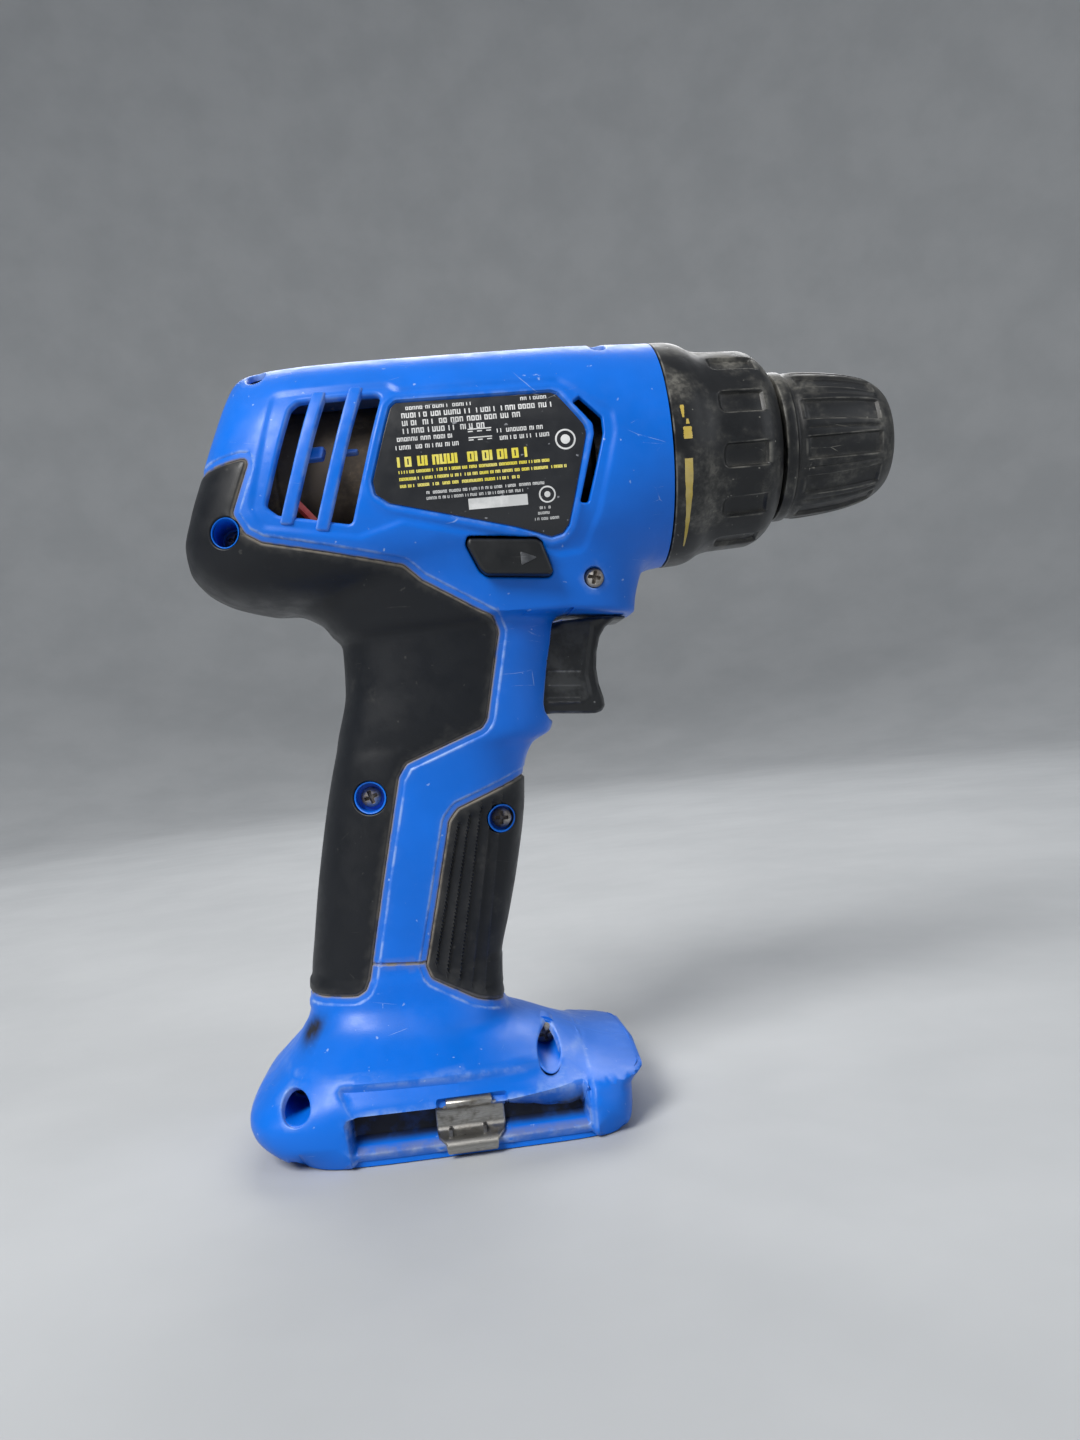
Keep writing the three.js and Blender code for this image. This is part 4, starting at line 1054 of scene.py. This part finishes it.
def build_plate(side):
    word = WORDS[side]
    loop = ROUND_PLATE + inward(ROUND_PLATE) * 0.45
    *parts, _ = skin(lambda p: inside(loop, p), [(loop, 0.12)], [], always(PLATE_LEVEL), always(0.3), 1.6)
    piece(
        f"{word}_plate_skin", close_skin(*parts, side), "housing", f"{word}_rating_plate", FILM
    )


def lifted(flat, under):
    """Side-view points on the body's surface, moved in by under along the normal, as if at y > 0."""
    y = half_width(flat)
    return upright(flat, y) - normals(flat, np.maximum(y, 1e-3)) * under


def build_bars(side):
    """The upright bars over the vent and the short ribs behind them."""
    # outlines, name, how deep they lie, how thick they are, how far their edges are rolled
    for outlines, name, level, thick, roll in (
        (VENT_BARS, "bar", 0, 1.9, 0.6), (VENT_RIBS, "rib", 3, 3, 0.4),
    ):
        for k, outline in enumerate(outlines):
            loop = rounded(outline, 0.5, 0.5)
            *parts, flat = skin(
                lambda p: inside(loop, p), [(loop, roll)], [], always(level), always(thick), 1.0
            )
            marks = both_layers(wear=0.5 * ridge(distance(loop, flat), 0.4))
            word = f"{WORDS[side]}_vent_{name}_{k + 1}"
            piece(word, close_skin(*parts, side), "housing", (), BLUE, marks=marks)


def build_wells():
    """The screw holes' walls, and the screws at the bottom of them."""
    for name, x, z, seat, hole, ring in SCREWS:
        ringed = name in RINGED
        under = 0.12 if ringed else 1.2

        def sunk(more, under=under):
            return lambda flat: under + more - half_width(flat)

        outer = ring - 0.06 if ringed else hole + 0.55
        profile = [
            (hole + 0.04, seat), (hole + 0.04, sunk(0.35)), (hole + 0.16, sunk(0.08)), (hole + 0.3, sunk(0)),
            (outer - 0.1, sunk(0)), (outer, sunk(0.3)), (outer, seat + 1.6), (1.55, seat + 1.6), (1.55, seat),
        ]
        piece(f"{name}_well", cross_revolved(x, z, profile), "housing", (), BLUE)
        build_screw(name, x, z, seat, 2.25 if name == "screw_trigger" else 2.4)


def build_screw(name, x, z, seat, r):
    """A pan head with a cross recess on a plain shank, turned by chance."""
    rings = []
    for rr in np.concatenate([np.linspace(0.12, r * 0.86, 18), np.linspace(r * 0.9, r, 5)]):
        flat = circle(0, 0, rr, 72)
        dome = 1.75 * math.sqrt(max(0.0, 1 - (rr / (r * 1.12)) ** 2)) + 0.15
        across, reach = np.abs(flat).min(axis=1), np.abs(flat).max(axis=1)
        recess = 1.15 * (1 - step(0.28, 0.46, across)) * (1 - step(r * 0.55, r * 0.72, reach))
        rings.append(upright(flat, seat - dome + np.minimum(recess * (1 - 0.35 * reach / r), dome - 0.2)))
    for rr, y in ((r, 0.05), (1.4, 0.05), (1.4, -4.0), (0.12, -4.0)):
        rings.append(upright(circle(0, 0, rr, 72), seat - y))
    points, faces = rings_mesh(rings)
    turn = random.uniform(0, math.pi / 2)
    c, s = math.cos(turn), math.sin(turn)
    points = points @ np.array([(c, 0, s), (0, 1, 0), (-s, 0, c)]) + [x, 0, z]
    piece(f"{name}_head", (points, faces), "housing", name, RUSTY, sharp=50)


SOCKET_X, SOCKET_LONG, SOCKET_WIDE = -62.5, 63.0, 54.0
RING_POINTS = 64


def at_height(ring, z):
    return np.column_stack([ring[:, :2], np.full(len(ring), float(z))])


def socket_ring(more_long, more_wide, r):
    """A rectangle in plan with rounded corners, larger than the socket by so much."""
    x, y = (SOCKET_LONG + more_long) / 2, (SOCKET_WIDE + more_wide) / 2
    loop = rounded([(-x, -y), (x, -y), (x, y), (-x, y)], r, 0.5)
    length = np.sum(np.linalg.norm(np.diff(loop, axis=0, append=loop[:1]), axis=1))
    loop = resample(loop, length / RING_POINTS)
    return loop[np.argsort(np.arctan2(loop[:, 1], loop[:, 0]))] + [SOCKET_X, 0]


def foot_ring(z, inset):
    """The foot's own outline at one height, moved inwards."""
    rear, front, width, n = (float(v) for v in FOOT_CURVE(z))
    middle, half = (front + rear) / 2, (front - rear) / 2 - inset
    nose = float(NOSE_CURVE(z)[0])
    made = []
    for base_x, base_y in socket_ring(0, 0, 3) - [SOCKET_X, 0]:
        a = math.atan2(base_y, base_x)
        low, high = 0.0, 80.0
        for _ in range(40):
            t = (low + high) / 2
            x, y = SOCKET_X + t * math.cos(a), t * math.sin(a)
            m = nose if x > middle else n
            rho = abs(y / (width - inset)) ** m + abs((x - middle) / half) ** m
            low, high = (t, high) if rho < 1 else (low, t)
        made.append((SOCKET_X + low * math.cos(a), low * math.sin(a), z))
    return np.array(made)


def build_socket():
    """The walls, ceiling and rim that the battery slides into, inside the foot."""
    wall, outer = socket_ring(0, 0, 2.0), socket_ring(3.2, 1.4, 3.0)
    bottom = -158.35
    rings = [at_height(outer, -146.2), at_height(outer, -156.4), foot_ring(-156.4, 2.4)]
    rings += [foot_ring(-158.2, 2.0), at_height(foot_ring(-158.2, 2.2), bottom)]
    # how much the wall grows, and the height
    for grow, z in ((0, bottom), (-0.15, bottom + 0.15), (0, bottom + 0.5), (0, -148.0), (-0.4, -147.6)):
        ring = (wall - [SOCKET_X, 0]) * (1 + grow / 45) + [SOCKET_X, 0]
        rings.append(at_height(ring, z))
    piece("battery_socket", rings_mesh(rings), "housing", (), BLUE, sharp=40)


def build_strike(side):
    """A bent steel strip with hemmed edges and two slots."""
    word = WORDS[side]
    # y and z down the middle of the strip, then half its length along x
    line = np.array([
        (32.2, -145.7, 5.0), (33.4, -145.8, 5.1), (34.1, -146.4, 5.1), (33.6, -147.2, 5.2),
        (31.8, -147.6, 7.5), (30.7, -148.0, 7.65), (30.3, -149.2, 7.65), (30.3, -152.2, 7.65),
        (31.0, -153.3, 7.6), (32.6, -154.1, 7.4), (33.9, -154.5, 6.5), (34.7, -155.1, 5.8),
        (35.0, -155.9, 5.7), (34.9, -156.6, 5.6), (34.2, -157.0, 5.5),
    ])
    key = np.concatenate([[0], np.cumsum(np.linalg.norm(np.diff(line[:, :2], axis=0), axis=1))])
    at = np.linspace(0, key[-1], 60)
    spine = np.stack([np.interp(at, key, line[:, 0]), np.interp(at, key, line[:, 1])], axis=1)
    for _ in range(3):
        spine[1:-1] = (spine[:-2] + 2 * spine[1:-1] + spine[2:]) / 4
    halves = np.interp(at, key, line[:, 2])
    along = np.gradient(spine, axis=0)
    along /= np.linalg.norm(along, axis=1, keepdims=True)
    out = np.stack([-along[:, 1], along[:, 0]], axis=1)
    half_thick, middle_x = 0.4, -62.3
    rings = []
    for p, n, h in zip(spine, out, halves):
        # a section with rounded ends, from -h to +h along x
        section = [(-h, -0.5), (-h, 0.5), (-h + 0.25, 1), (h - 0.25, 1)]
        section += [(-sx, -sy) for sx, sy in section]
        ring = [(middle_x + sx, *(p + n * half_thick * sy)) for sx, sy in section]
        rings.append(np.array(ring) * [1, side, 1])
    strike = f"{word}_latch_strike"
    piece(f"{word}_strike_strip", rings_mesh(rings), "housing", strike, STEEL)
    for k, x in enumerate((-66.9, -59.3)):
        outline = [(x - 0.45, -152.3), (x + 0.45, -152.3), (x + 0.4, -154.4), (x - 0.4, -154.4)]
        slot = pillow(outline, *sorted((side * 30.4, side * 33.3)), 0.15, 0.2, 0.2, 3)
        piece(f"{word}_strike_slot_{k + 1}", slot, "housing", (), DARK_STEEL)


# ---------------------------------------------------------------- print on the plate
ROWS = [  # x from, x to, z, height, letter width, yellow
    (-60.6, -44.7, 10.1, 0.85, 0.8, False), (-34.2, -27.8, 10.3, 0.85, 0.8, False),
    (-61.7, -25.8, 8.3, 1.25, 1.0, False), (-61.7, -34.3, 6.4, 1.25, 1.0, False),
    (-61.7, -42.0, 4.5, 1.25, 1.0, False), (-63.2, -49.4, 2.6, 0.95, 0.8, False),
    (-40.4, -29.6, 2.9, 0.95, 0.8, False), (-63.7, -48.4, 0.7, 0.95, 0.8, False),
    (-39.9, -27.6, 1.1, 0.95, 0.8, False), (-63.7, -31.6, -2.6, 2.3, 1.7, True),
    (-63.6, -28.2, -4.9, 0.7, 0.6, True), (-63.6, -24.8, -6.5, 0.7, 0.6, True),
    (-63.6, -36.1, -8.1, 0.7, 0.6, True), (-57.8, -30.6, -10.0, 0.65, 0.55, False),
    (-57.9, -35.0, -11.3, 0.65, 0.55, False), (-32.3, -29.2, -15.7, 0.6, 0.55, False),
    (-32.8, -29.6, -16.9, 0.6, 0.55, False), (-33.6, -27.7, -18.2, 0.6, 0.55, False),
]
PRINT_LEVEL, PRINT_DEPTH = PLATE_LEVEL - 0.03, 0.08
# round marks: x, z, inner radius, outer radius
ROUND_MARKS = [
    (-24.9, -0.4, 2.0, 2.4), (-24.9, -0.4, 0.0001, 1.1),
    (-30.3, -12.7, 1.6, 1.95), (-30.3, -12.7, 0.0001, 0.7),
]


def pads(boxes, side):
    """Thin closed pads on the plate, one for each (x0, x1, z0, z1)."""
    flat = np.array([p for x0, x1, z0, z1 in boxes for p in ((x0, z0), (x1, z0), (x1, z1), (x0, z1))])
    upper, lower = lifted(flat, PRINT_LEVEL), lifted(flat, PRINT_LEVEL + PRINT_DEPTH)
    faces = []
    for first in range(0, len(flat), 4):
        t, u = [first + i for i in range(4)], [len(flat) + first + i for i in range(4)]
        faces += [tuple(t), tuple(u[::-1])]
        faces += [(t[i], u[i], u[(i + 1) % 4], t[(i + 1) % 4]) for i in range(4)]
    return np.vstack([upper, lower]) * [1, side, 1], faces


def annulus(x, z, inner, outer, side, count=36):
    a, b = circle(x, z, inner, count), circle(x, z, outer, count)
    rings = [lifted(loop, PRINT_LEVEL) for loop in (a, b)]
    rings += [lifted(loop, PRINT_LEVEL + PRINT_DEPTH) for loop in (b, a)]
    return rings_mesh([ring * [1, side, 1] for ring in rings], closed_along=True)


def merged(parts):
    points, faces, shift = [], [], 0
    for p, f in parts:
        points.append(p)
        faces.extend(tuple(i + shift for i in face) for face in f)
        shift += len(p)
    return np.vstack(points), faces


def build_print(side):
    """Rows of unreadable strokes, a plain pale box and round marks."""
    word = WORDS[side]
    pale, yellow = [], []
    for x0, x1, z, height, width, is_yellow in ROWS:
        x = x0
        while x < x1 - width * 0.5:
            for _ in range(random.randint(2, 8)):
                if x + width > x1:
                    break
                boxes = yellow if is_yellow else pale
                stroke = width * (0.36 if is_yellow else 0.26)
                kind = random.randint(0, 3)
                low, high = z - height / 2, z + height / 2
                boxes.append((x, x + stroke, low, high))
                if kind != 0:
                    boxes.append((x + width * 0.55, x + width * 0.55 + stroke, low, high))
                if kind in (1, 3):
                    boxes.append((x + stroke, x + width * 0.55, high - height * 0.2, high))
                if kind in (2, 3):
                    boxes.append((x + stroke, x + width * 0.55, low, low + height * 0.2))
                x += width
            x += width * 0.7
    for z0 in (3.3, 1.3):
        pale.append((-47.0, -41.6, z0 + 0.3, z0 + 0.55))
        pale.extend((-47.0 + k * 2.1, -45.9 + k * 2.1, z0 - 0.25, z0) for k in range(3))
    pale.append((-48.5, -34.9, -14.7, -12.2))
    for name, boxes, look in (("pale", pale, PRINT), ("yellow", yellow, YELLOW)):
        parts = [pads(boxes, side)]
        if name == "pale":
            parts += [annulus(*mark, side) for mark in ROUND_MARKS]
        piece(f"{word}_{name}_print", merged(parts), "housing", (), look, tidy=False)


# ---------------------------------------------------------------- trigger and selector
TRIGGER_RIBS = [
    ((-32.4, -52.3), (-24.8, -53.0)), ((-32.7, -55.8), (-25.2, -56.5)), ((-33, -58.8), (-25.5, -59.5)),
    ((-33.1, -59.9), (-25.6, -60.5)),
]


def build_trigger():
    """The trigger, its cheeks standing proud with low ribs across them, and its stem."""
    outline, cheek = rounded(TRIGGER, 0.9, 0.5), rounded(TRIGGER_CHEEK, 0.8, 0.5)

    def relief(flat):
        made = 0.55 * (1 - step(-0.9, 0.25, signed(cheek, flat)))
        for start, end in TRIGGER_RIBS:
            made -= 0.16 * ridge(distance([start, end], flat, closed=False), 0.2)
        return made

    extras = [bands(cheek, (-0.9, -0.5, -0.1, 0.3))]
    for start, end in TRIGGER_RIBS:
        extras.append(copies(start, end, (-0.34, -0.15, 0, 0.15, 0.34), 0.6))
    *parts, flat = slab(outline, 8.6, 1.1, relief, extras, 0.9)
    wear = 0.55 * ridge(distance(outline, flat) - 0.25, 0.22) * (flat[:, 0] > -35)
    for rib, share in zip(TRIGGER_RIBS, (0.9, 0.4, 0.7, 0.9)):
        wear = np.maximum(wear, share * ridge(distance(rib, flat, closed=False), 0.22))
    wear = np.maximum(wear, 0.16 * step(0, 0.6, signed(cheek, flat)))
    stem = pillow([(-46, -54), (-40.5, -54), (-40.5, -49), (-46, -49)], -3, 3, 0.4, 0.4, 0.6, 3)
    marks = [("wear", np.concatenate([wear, wear, np.zeros(len(stem[0]))]))]
    form = merged([close_skin(*parts, 1), stem])
    piece("trigger_body", form, "trigger", "trigger", BLACK, marks=marks)


def build_selector():
    """The selector's bar and an arrow at each end of it."""
    loop = rounded(SELECTOR, 0.7, 0.6)
    bar = pillow(loop + inward(loop) * 0.25, -26.3, 26.3, 0.9, 0.3, 0.6, 6)
    piece("selector_bar", bar, "selector", "direction_selector", BLACK)
    for side, word in WORDS.items():
        arrow = [(-33.9, -26.6), (-37.8, -24.9), (-37.8, -28.1)]
        points, faces = pillow(arrow, *sorted((side * 26.0, side * 26.45)), 0.12, 0.25, 0.3, 3)
        if side == LEFT:
            points[:, 0] = -71.8 - points[:, 0]
        piece(f"selector_mark_{word}", (points, faces), "selector", (), FILM)


# ---------------------------------------------------------------- collar, sleeve and chuck
PADS = 12


PITCH = 2 * math.pi / PADS


def pad_columns(half_angle, edge):
    """Angles that crowd at the sides of each pad."""
    sides = [-half_angle + edge * share for share in (-1, -0.5, 0, 0.5, 1)]
    local = {*sides, *(-v for v in sides), *np.linspace(-half_angle + edge * 2, half_angle - edge * 2, 5)}
    local |= set(np.linspace(-PITCH / 2, -half_angle - edge * 1.8, 5))
    local |= set(np.linspace(half_angle + edge * 1.8, PITCH / 2, 5)[:-1])
    return np.array(sorted((k + 0.5) * PITCH + v for k in range(PADS) for v in local))


def from_pad(angles):
    """The angle to the middle of the nearest pad."""
    return np.abs(angles % PITCH - PITCH / 2)


def lathed(xs, curve, rest, angles, cut):
    """Revolves the curve at xs and the rest of the profile, with cut(x, r, angles) taken off the curve."""
    outside = [(x, float(curve(x)[0])) for x in xs]

    def radius(x, r, a):
        made = np.full(len(a), float(r))
        return made - cut(x, r, a) if (x, r) in outside else made

    return revolved(outside + rest, angles, radius)


def build_collar():
    outer = Curve([
        (0.4, 28.0), (2, 27.98), (4, 27.9), (6, 27.55), (7.6, 26.9), (9.2, 26.0), (11, 25.3), (13, 25.0),
        (18, 24.8), (22.4, 24.6), (24.6, 23.9), (26.4, 22.7), (27.8, 21.2), (28.7, 19.9), (29, 19.2),
    ])
    xs = [
        0.55, 0.9, 2, 3, 4, 5, 6, 6.8, 7.6, 8.4, 9.2, 10, 11, 12, 12.4, 12.8, 13.1, 13.5, 14, 15, 16.5, 18,
        19.5, 21, 22, 22.8, 23.3, 23.7, 24.1, 24.6, 25.4, 26.2, 26.9, 27.5, 28, 28.4, 28.75, 29,
    ]
    inside_of_it = [
        (29.05, 18.0), (29.0, 13.3), (28.7, 13.05), (26.2, 13.05), (26.0, 13.4), (26, 20.4), (24.4, 21.6),
        (3, 23.4), (0.5, 24.4), (0.4, 25.5), (0.4, 27.6), (0.45, 27.85),
    ]

    def cut(x, r, a):
        """Valleys between the pads, whose corners at the collar's middle are rounded."""
        off = from_pad(a) * r
        back = step(12.6, 13.4, x - 0.9 * step(1.4, 2.9, off))
        depth = 1.05 + 0.036 * math.sin(x * 1.7)
        return depth * (1 - step(2.45, 2.95, off)) * back * (1 - step(23.2, 24.4, x))

    form = lathed(xs, outer, inside_of_it, pad_columns(0.108, 0.014), cut)
    piece("torque_collar_skin", form, "collar", "torque_collar", WORN_BLACK)

    marks = []

    # worn strips of paint on the right: z from and to, width from and to, x
    for z0, z1, w0, w1, x in (
        (-7, -25, 2.3, 0.3, 3.5), (0.2, -2.6, 1.9, 2.2, 3.7),
        (5.4, 2.4, 1.0, 0.5, 3.0), (2.0, 0.8, 0.5, 0.9, 3.9),
    ):
        a0, a1 = math.asin(z0 / 27.9), math.asin(z1 / 27.9)
        rings = []
        for t in np.linspace(0, 1, 15):
            a = a0 + (a1 - a0) * t
            half = (w0 + (w1 - w0) * t) * random.uniform(0.82, 1.1) / 2
            ring = []
            for at, lift in ((x - half, 0.05), (x + half, 0.05), (x + half, -0.15), (x - half, -0.15)):
                r = float(outer(at)[0]) + lift
                ring.append((at, -r * math.cos(a), r * math.sin(a)))
            rings.append(np.array(ring))
        marks.append(rings_mesh(rings))
    piece("collar_marks", merged(marks), "collar", (), WORN_YELLOW, tidy=False)


def build_sleeve():
    outer = Curve([
        (30.2, 18.5), (31, 18.75), (32, 18.8), (32.9, 18.7), (33.4, 18.1), (34.0, 17.9), (34.6, 18.1),
        (36, 18.5), (42, 18.15), (48, 17.4), (52, 16.6), (55, 15.7), (57.5, 14.4), (59, 13.2), (59.8, 12.2),
        (60, 11.6),
    ])
    xs = [
        30.35, 30.7, 31.2, 31.8, 32.4, 32.9, 33.2, 33.5, 33.8, 34.2, 34.6, 35, 35.4, 35.8, 36.2, 36.6, 37.1,
        38, 39.5, 41, 42.5, 44, 45.5, 47, 48.5, 50, 51.5, 53, 54, 54.8, 55.2, 55.6, 56, 56.5, 57.2, 58, 58.6,
        59.1, 59.5, 59.8, 60,
    ]
    inside_of_it = [
        (59.95, 11.0), (59.6, 10.5), (52.4, 14.0), (47.4, 14.4), (47.4, 15.7), (38.4, 15.7), (37.6, 16.4),
        (31.4, 16.4), (31.4, 14.3), (30.3, 14.3), (30.2, 15), (30.2, 18.0),
    ]

    def cut(x, r, a):
        """Flutes, and a fine line down the middle of each land between them."""
        wide = 1 - step(2.35, 2.85, from_pad(a) * r)
        narrow = 1 - step(0.12, 0.5, from_pad(a + PITCH / 2) * r)
        return (0.85 * wide + 0.35 * narrow) * step(35.0, 36.6, x) * (1 - step(54.6, 55.8, x))

    form = lathed(xs, outer, inside_of_it, pad_columns(0.145, 0.016), cut)
    piece("chuck_sleeve_skin", form, "sleeve", "chuck_sleeve", WORN_BLACK)


def build_chuck_core():
    """The chuck body seen inside the sleeve's mouth, with a slot for each jaw."""
    angles = np.linspace(0, 2 * math.pi, 144, endpoint=False)
    profile = [
        (46.8, 11.8), (46.8, 13.5), (50, 13.45), (52, 13.2), (54, 12.5), (56, 11.7), (57.8, 10.8),
        (58.9, 9.9), (59.3, 9.3), (59.5, 8.6), (59.4, 6.2), (59.0, 5.6), (56, 5.4), (50, 5.4), (46.8, 5.4),
    ]
    form = revolved(cut_corners(profile, lambda _: 0.4, 3), angles)
    piece("chuck_core", form, "output", (), DARK_STEEL)


def build_motor():
    """The motor's can with its rolled rear edge and pressed ribs, seen through the vents."""
    angles = np.linspace(0, 2 * math.pi, 160, endpoint=False)
    profile = [
        (-95.4, 16.6), (-95.4, 17.5), (-95.0, 17.85), (-93, 17.85), (-92.4, 17.5), (-91.8, 17.85),
        (-66, 17.85), (-65.4, 17.4), (-64.6, 17.4), (-64, 17.85), (-49, 17.85), (-48.2, 17.4), (-48, 16.8),
        (-48, 4.0),
        (-48.8, 4.0), (-49.2, 16.2), (-49.6, 16.9), (-94.6, 16.9),
    ]
    form = revolved(cut_corners(profile, lambda _: 0.3, 3), angles)
    piece("motor_can_skin", form, "housing", "motor_can", DUSTY)


# ---------------------------------------------------------------- stage, lights and camera
def build_stage():
    """A pale floor that sweeps up into a round wall."""
    profile = [(0.02, 0), (0.5, 0), (1.2, 0)]
    profile += [(1.2 + 0.8 * math.sin(a), 0.8 * (1 - math.cos(a))) for a in np.linspace(0.1, math.pi / 2, 14)]
    profile += [(2.0, 2.2)]
    count = 96
    points, faces = rings_mesh([at_height(circle(0, 0, r, count), z) for r, z in profile], caps=False)
    faces.append(tuple(range(count))[::-1])
    mesh = bpy.data.meshes.new("studio_floor")
    mesh.from_pydata(points.tolist(), [], faces)
    mesh.shade_smooth()
    floor = bpy.data.objects.new("studio_floor", mesh)
    bpy.context.scene.collection.objects.link(floor)
    look = Look("pale_floor_look")
    tone = look.mix(look.span(look.noise(9, 4), 0.3, 0.7), (0.43, 0.445, 0.46), (0.39, 0.405, 0.42))
    roughness = look.span(look.noise(40, 3), 0.3, 0.7, 0.6, 0.72)
    mesh.materials.append(look.finish(tone, roughness, look.noise(180, 4), 0.1, 0.0005))


def area_light(name, at, size, watts, colour=(1, 1, 1), target=(-0.02, 0, 0.09)):
    data = bpy.data.lights.new(name, "AREA")
    data.shape = "RECTANGLE"
    data.size, data.size_y = size
    data.energy = watts
    data.color = colour
    light = bpy.data.objects.new(name, data)
    light.location = at
    light.rotation_euler = (Vector(target) - Vector(at)).to_track_quat("-Z", "Y").to_euler()
    bpy.context.scene.collection.objects.link(light)


def build_camera():
    yaw, roll = math.radians(4.5), math.radians(5.9)
    forward = Vector((math.sin(yaw), math.cos(yaw), 0))
    side = Vector((math.cos(yaw), -math.sin(yaw), 0))
    right = side * math.cos(roll) - Vector((0, 0, 1)) * math.sin(roll)
    up = side * math.sin(roll) + Vector((0, 0, 1)) * math.cos(roll)
    data = bpy.data.cameras.new("camera")
    data.lens, data.sensor_width = 27.0, 36.0
    data.clip_start, data.clip_end = 0.01, 20
    camera = bpy.data.objects.new("camera", data)
    rotation = Matrix((right, up, -forward)).transposed().to_4x4()
    camera.matrix_world = Matrix.Translation((-0.0280, -0.27415, 0.09453)) @ rotation
    bpy.context.scene.collection.objects.link(camera)
    bpy.context.scene.camera = camera


def build_light():
    area_light("key", (-0.7, -0.75, 1.0), (0.6, 0.6), 23, (1.0, 0.985, 0.96))
    area_light("fill", (0.9, -0.6, 0.5), (0.9, 0.9), 3, (0.93, 0.96, 1.0))
    area_light("back", (0.1, 0.95, 0.9), (1.0, 0.6), 8)
    world = bpy.data.worlds.new("studio")
    world.use_nodes = True
    background = world.node_tree.nodes["Background"]
    background.inputs["Color"].default_value = (0.92, 0.95, 1.0, 1)
    background.inputs["Strength"].default_value = 0.36
    bpy.context.scene.world = world
    bpy.context.scene.view_settings.view_transform = "Standard"


# ---------------------------------------------------------------- all of it
build_camera()
build_light()
build_stage()
dress_cad()
for which in (RIGHT, LEFT):
    build_shell(which)
    build_grip(which, True)
    build_grip(which, False)
    build_plate(which)
    build_bars(which)
    build_print(which)
    build_strike(which)
build_wells()
build_socket()
build_trigger()
build_selector()
build_collar()
build_sleeve()
build_chuck_core()
build_motor()
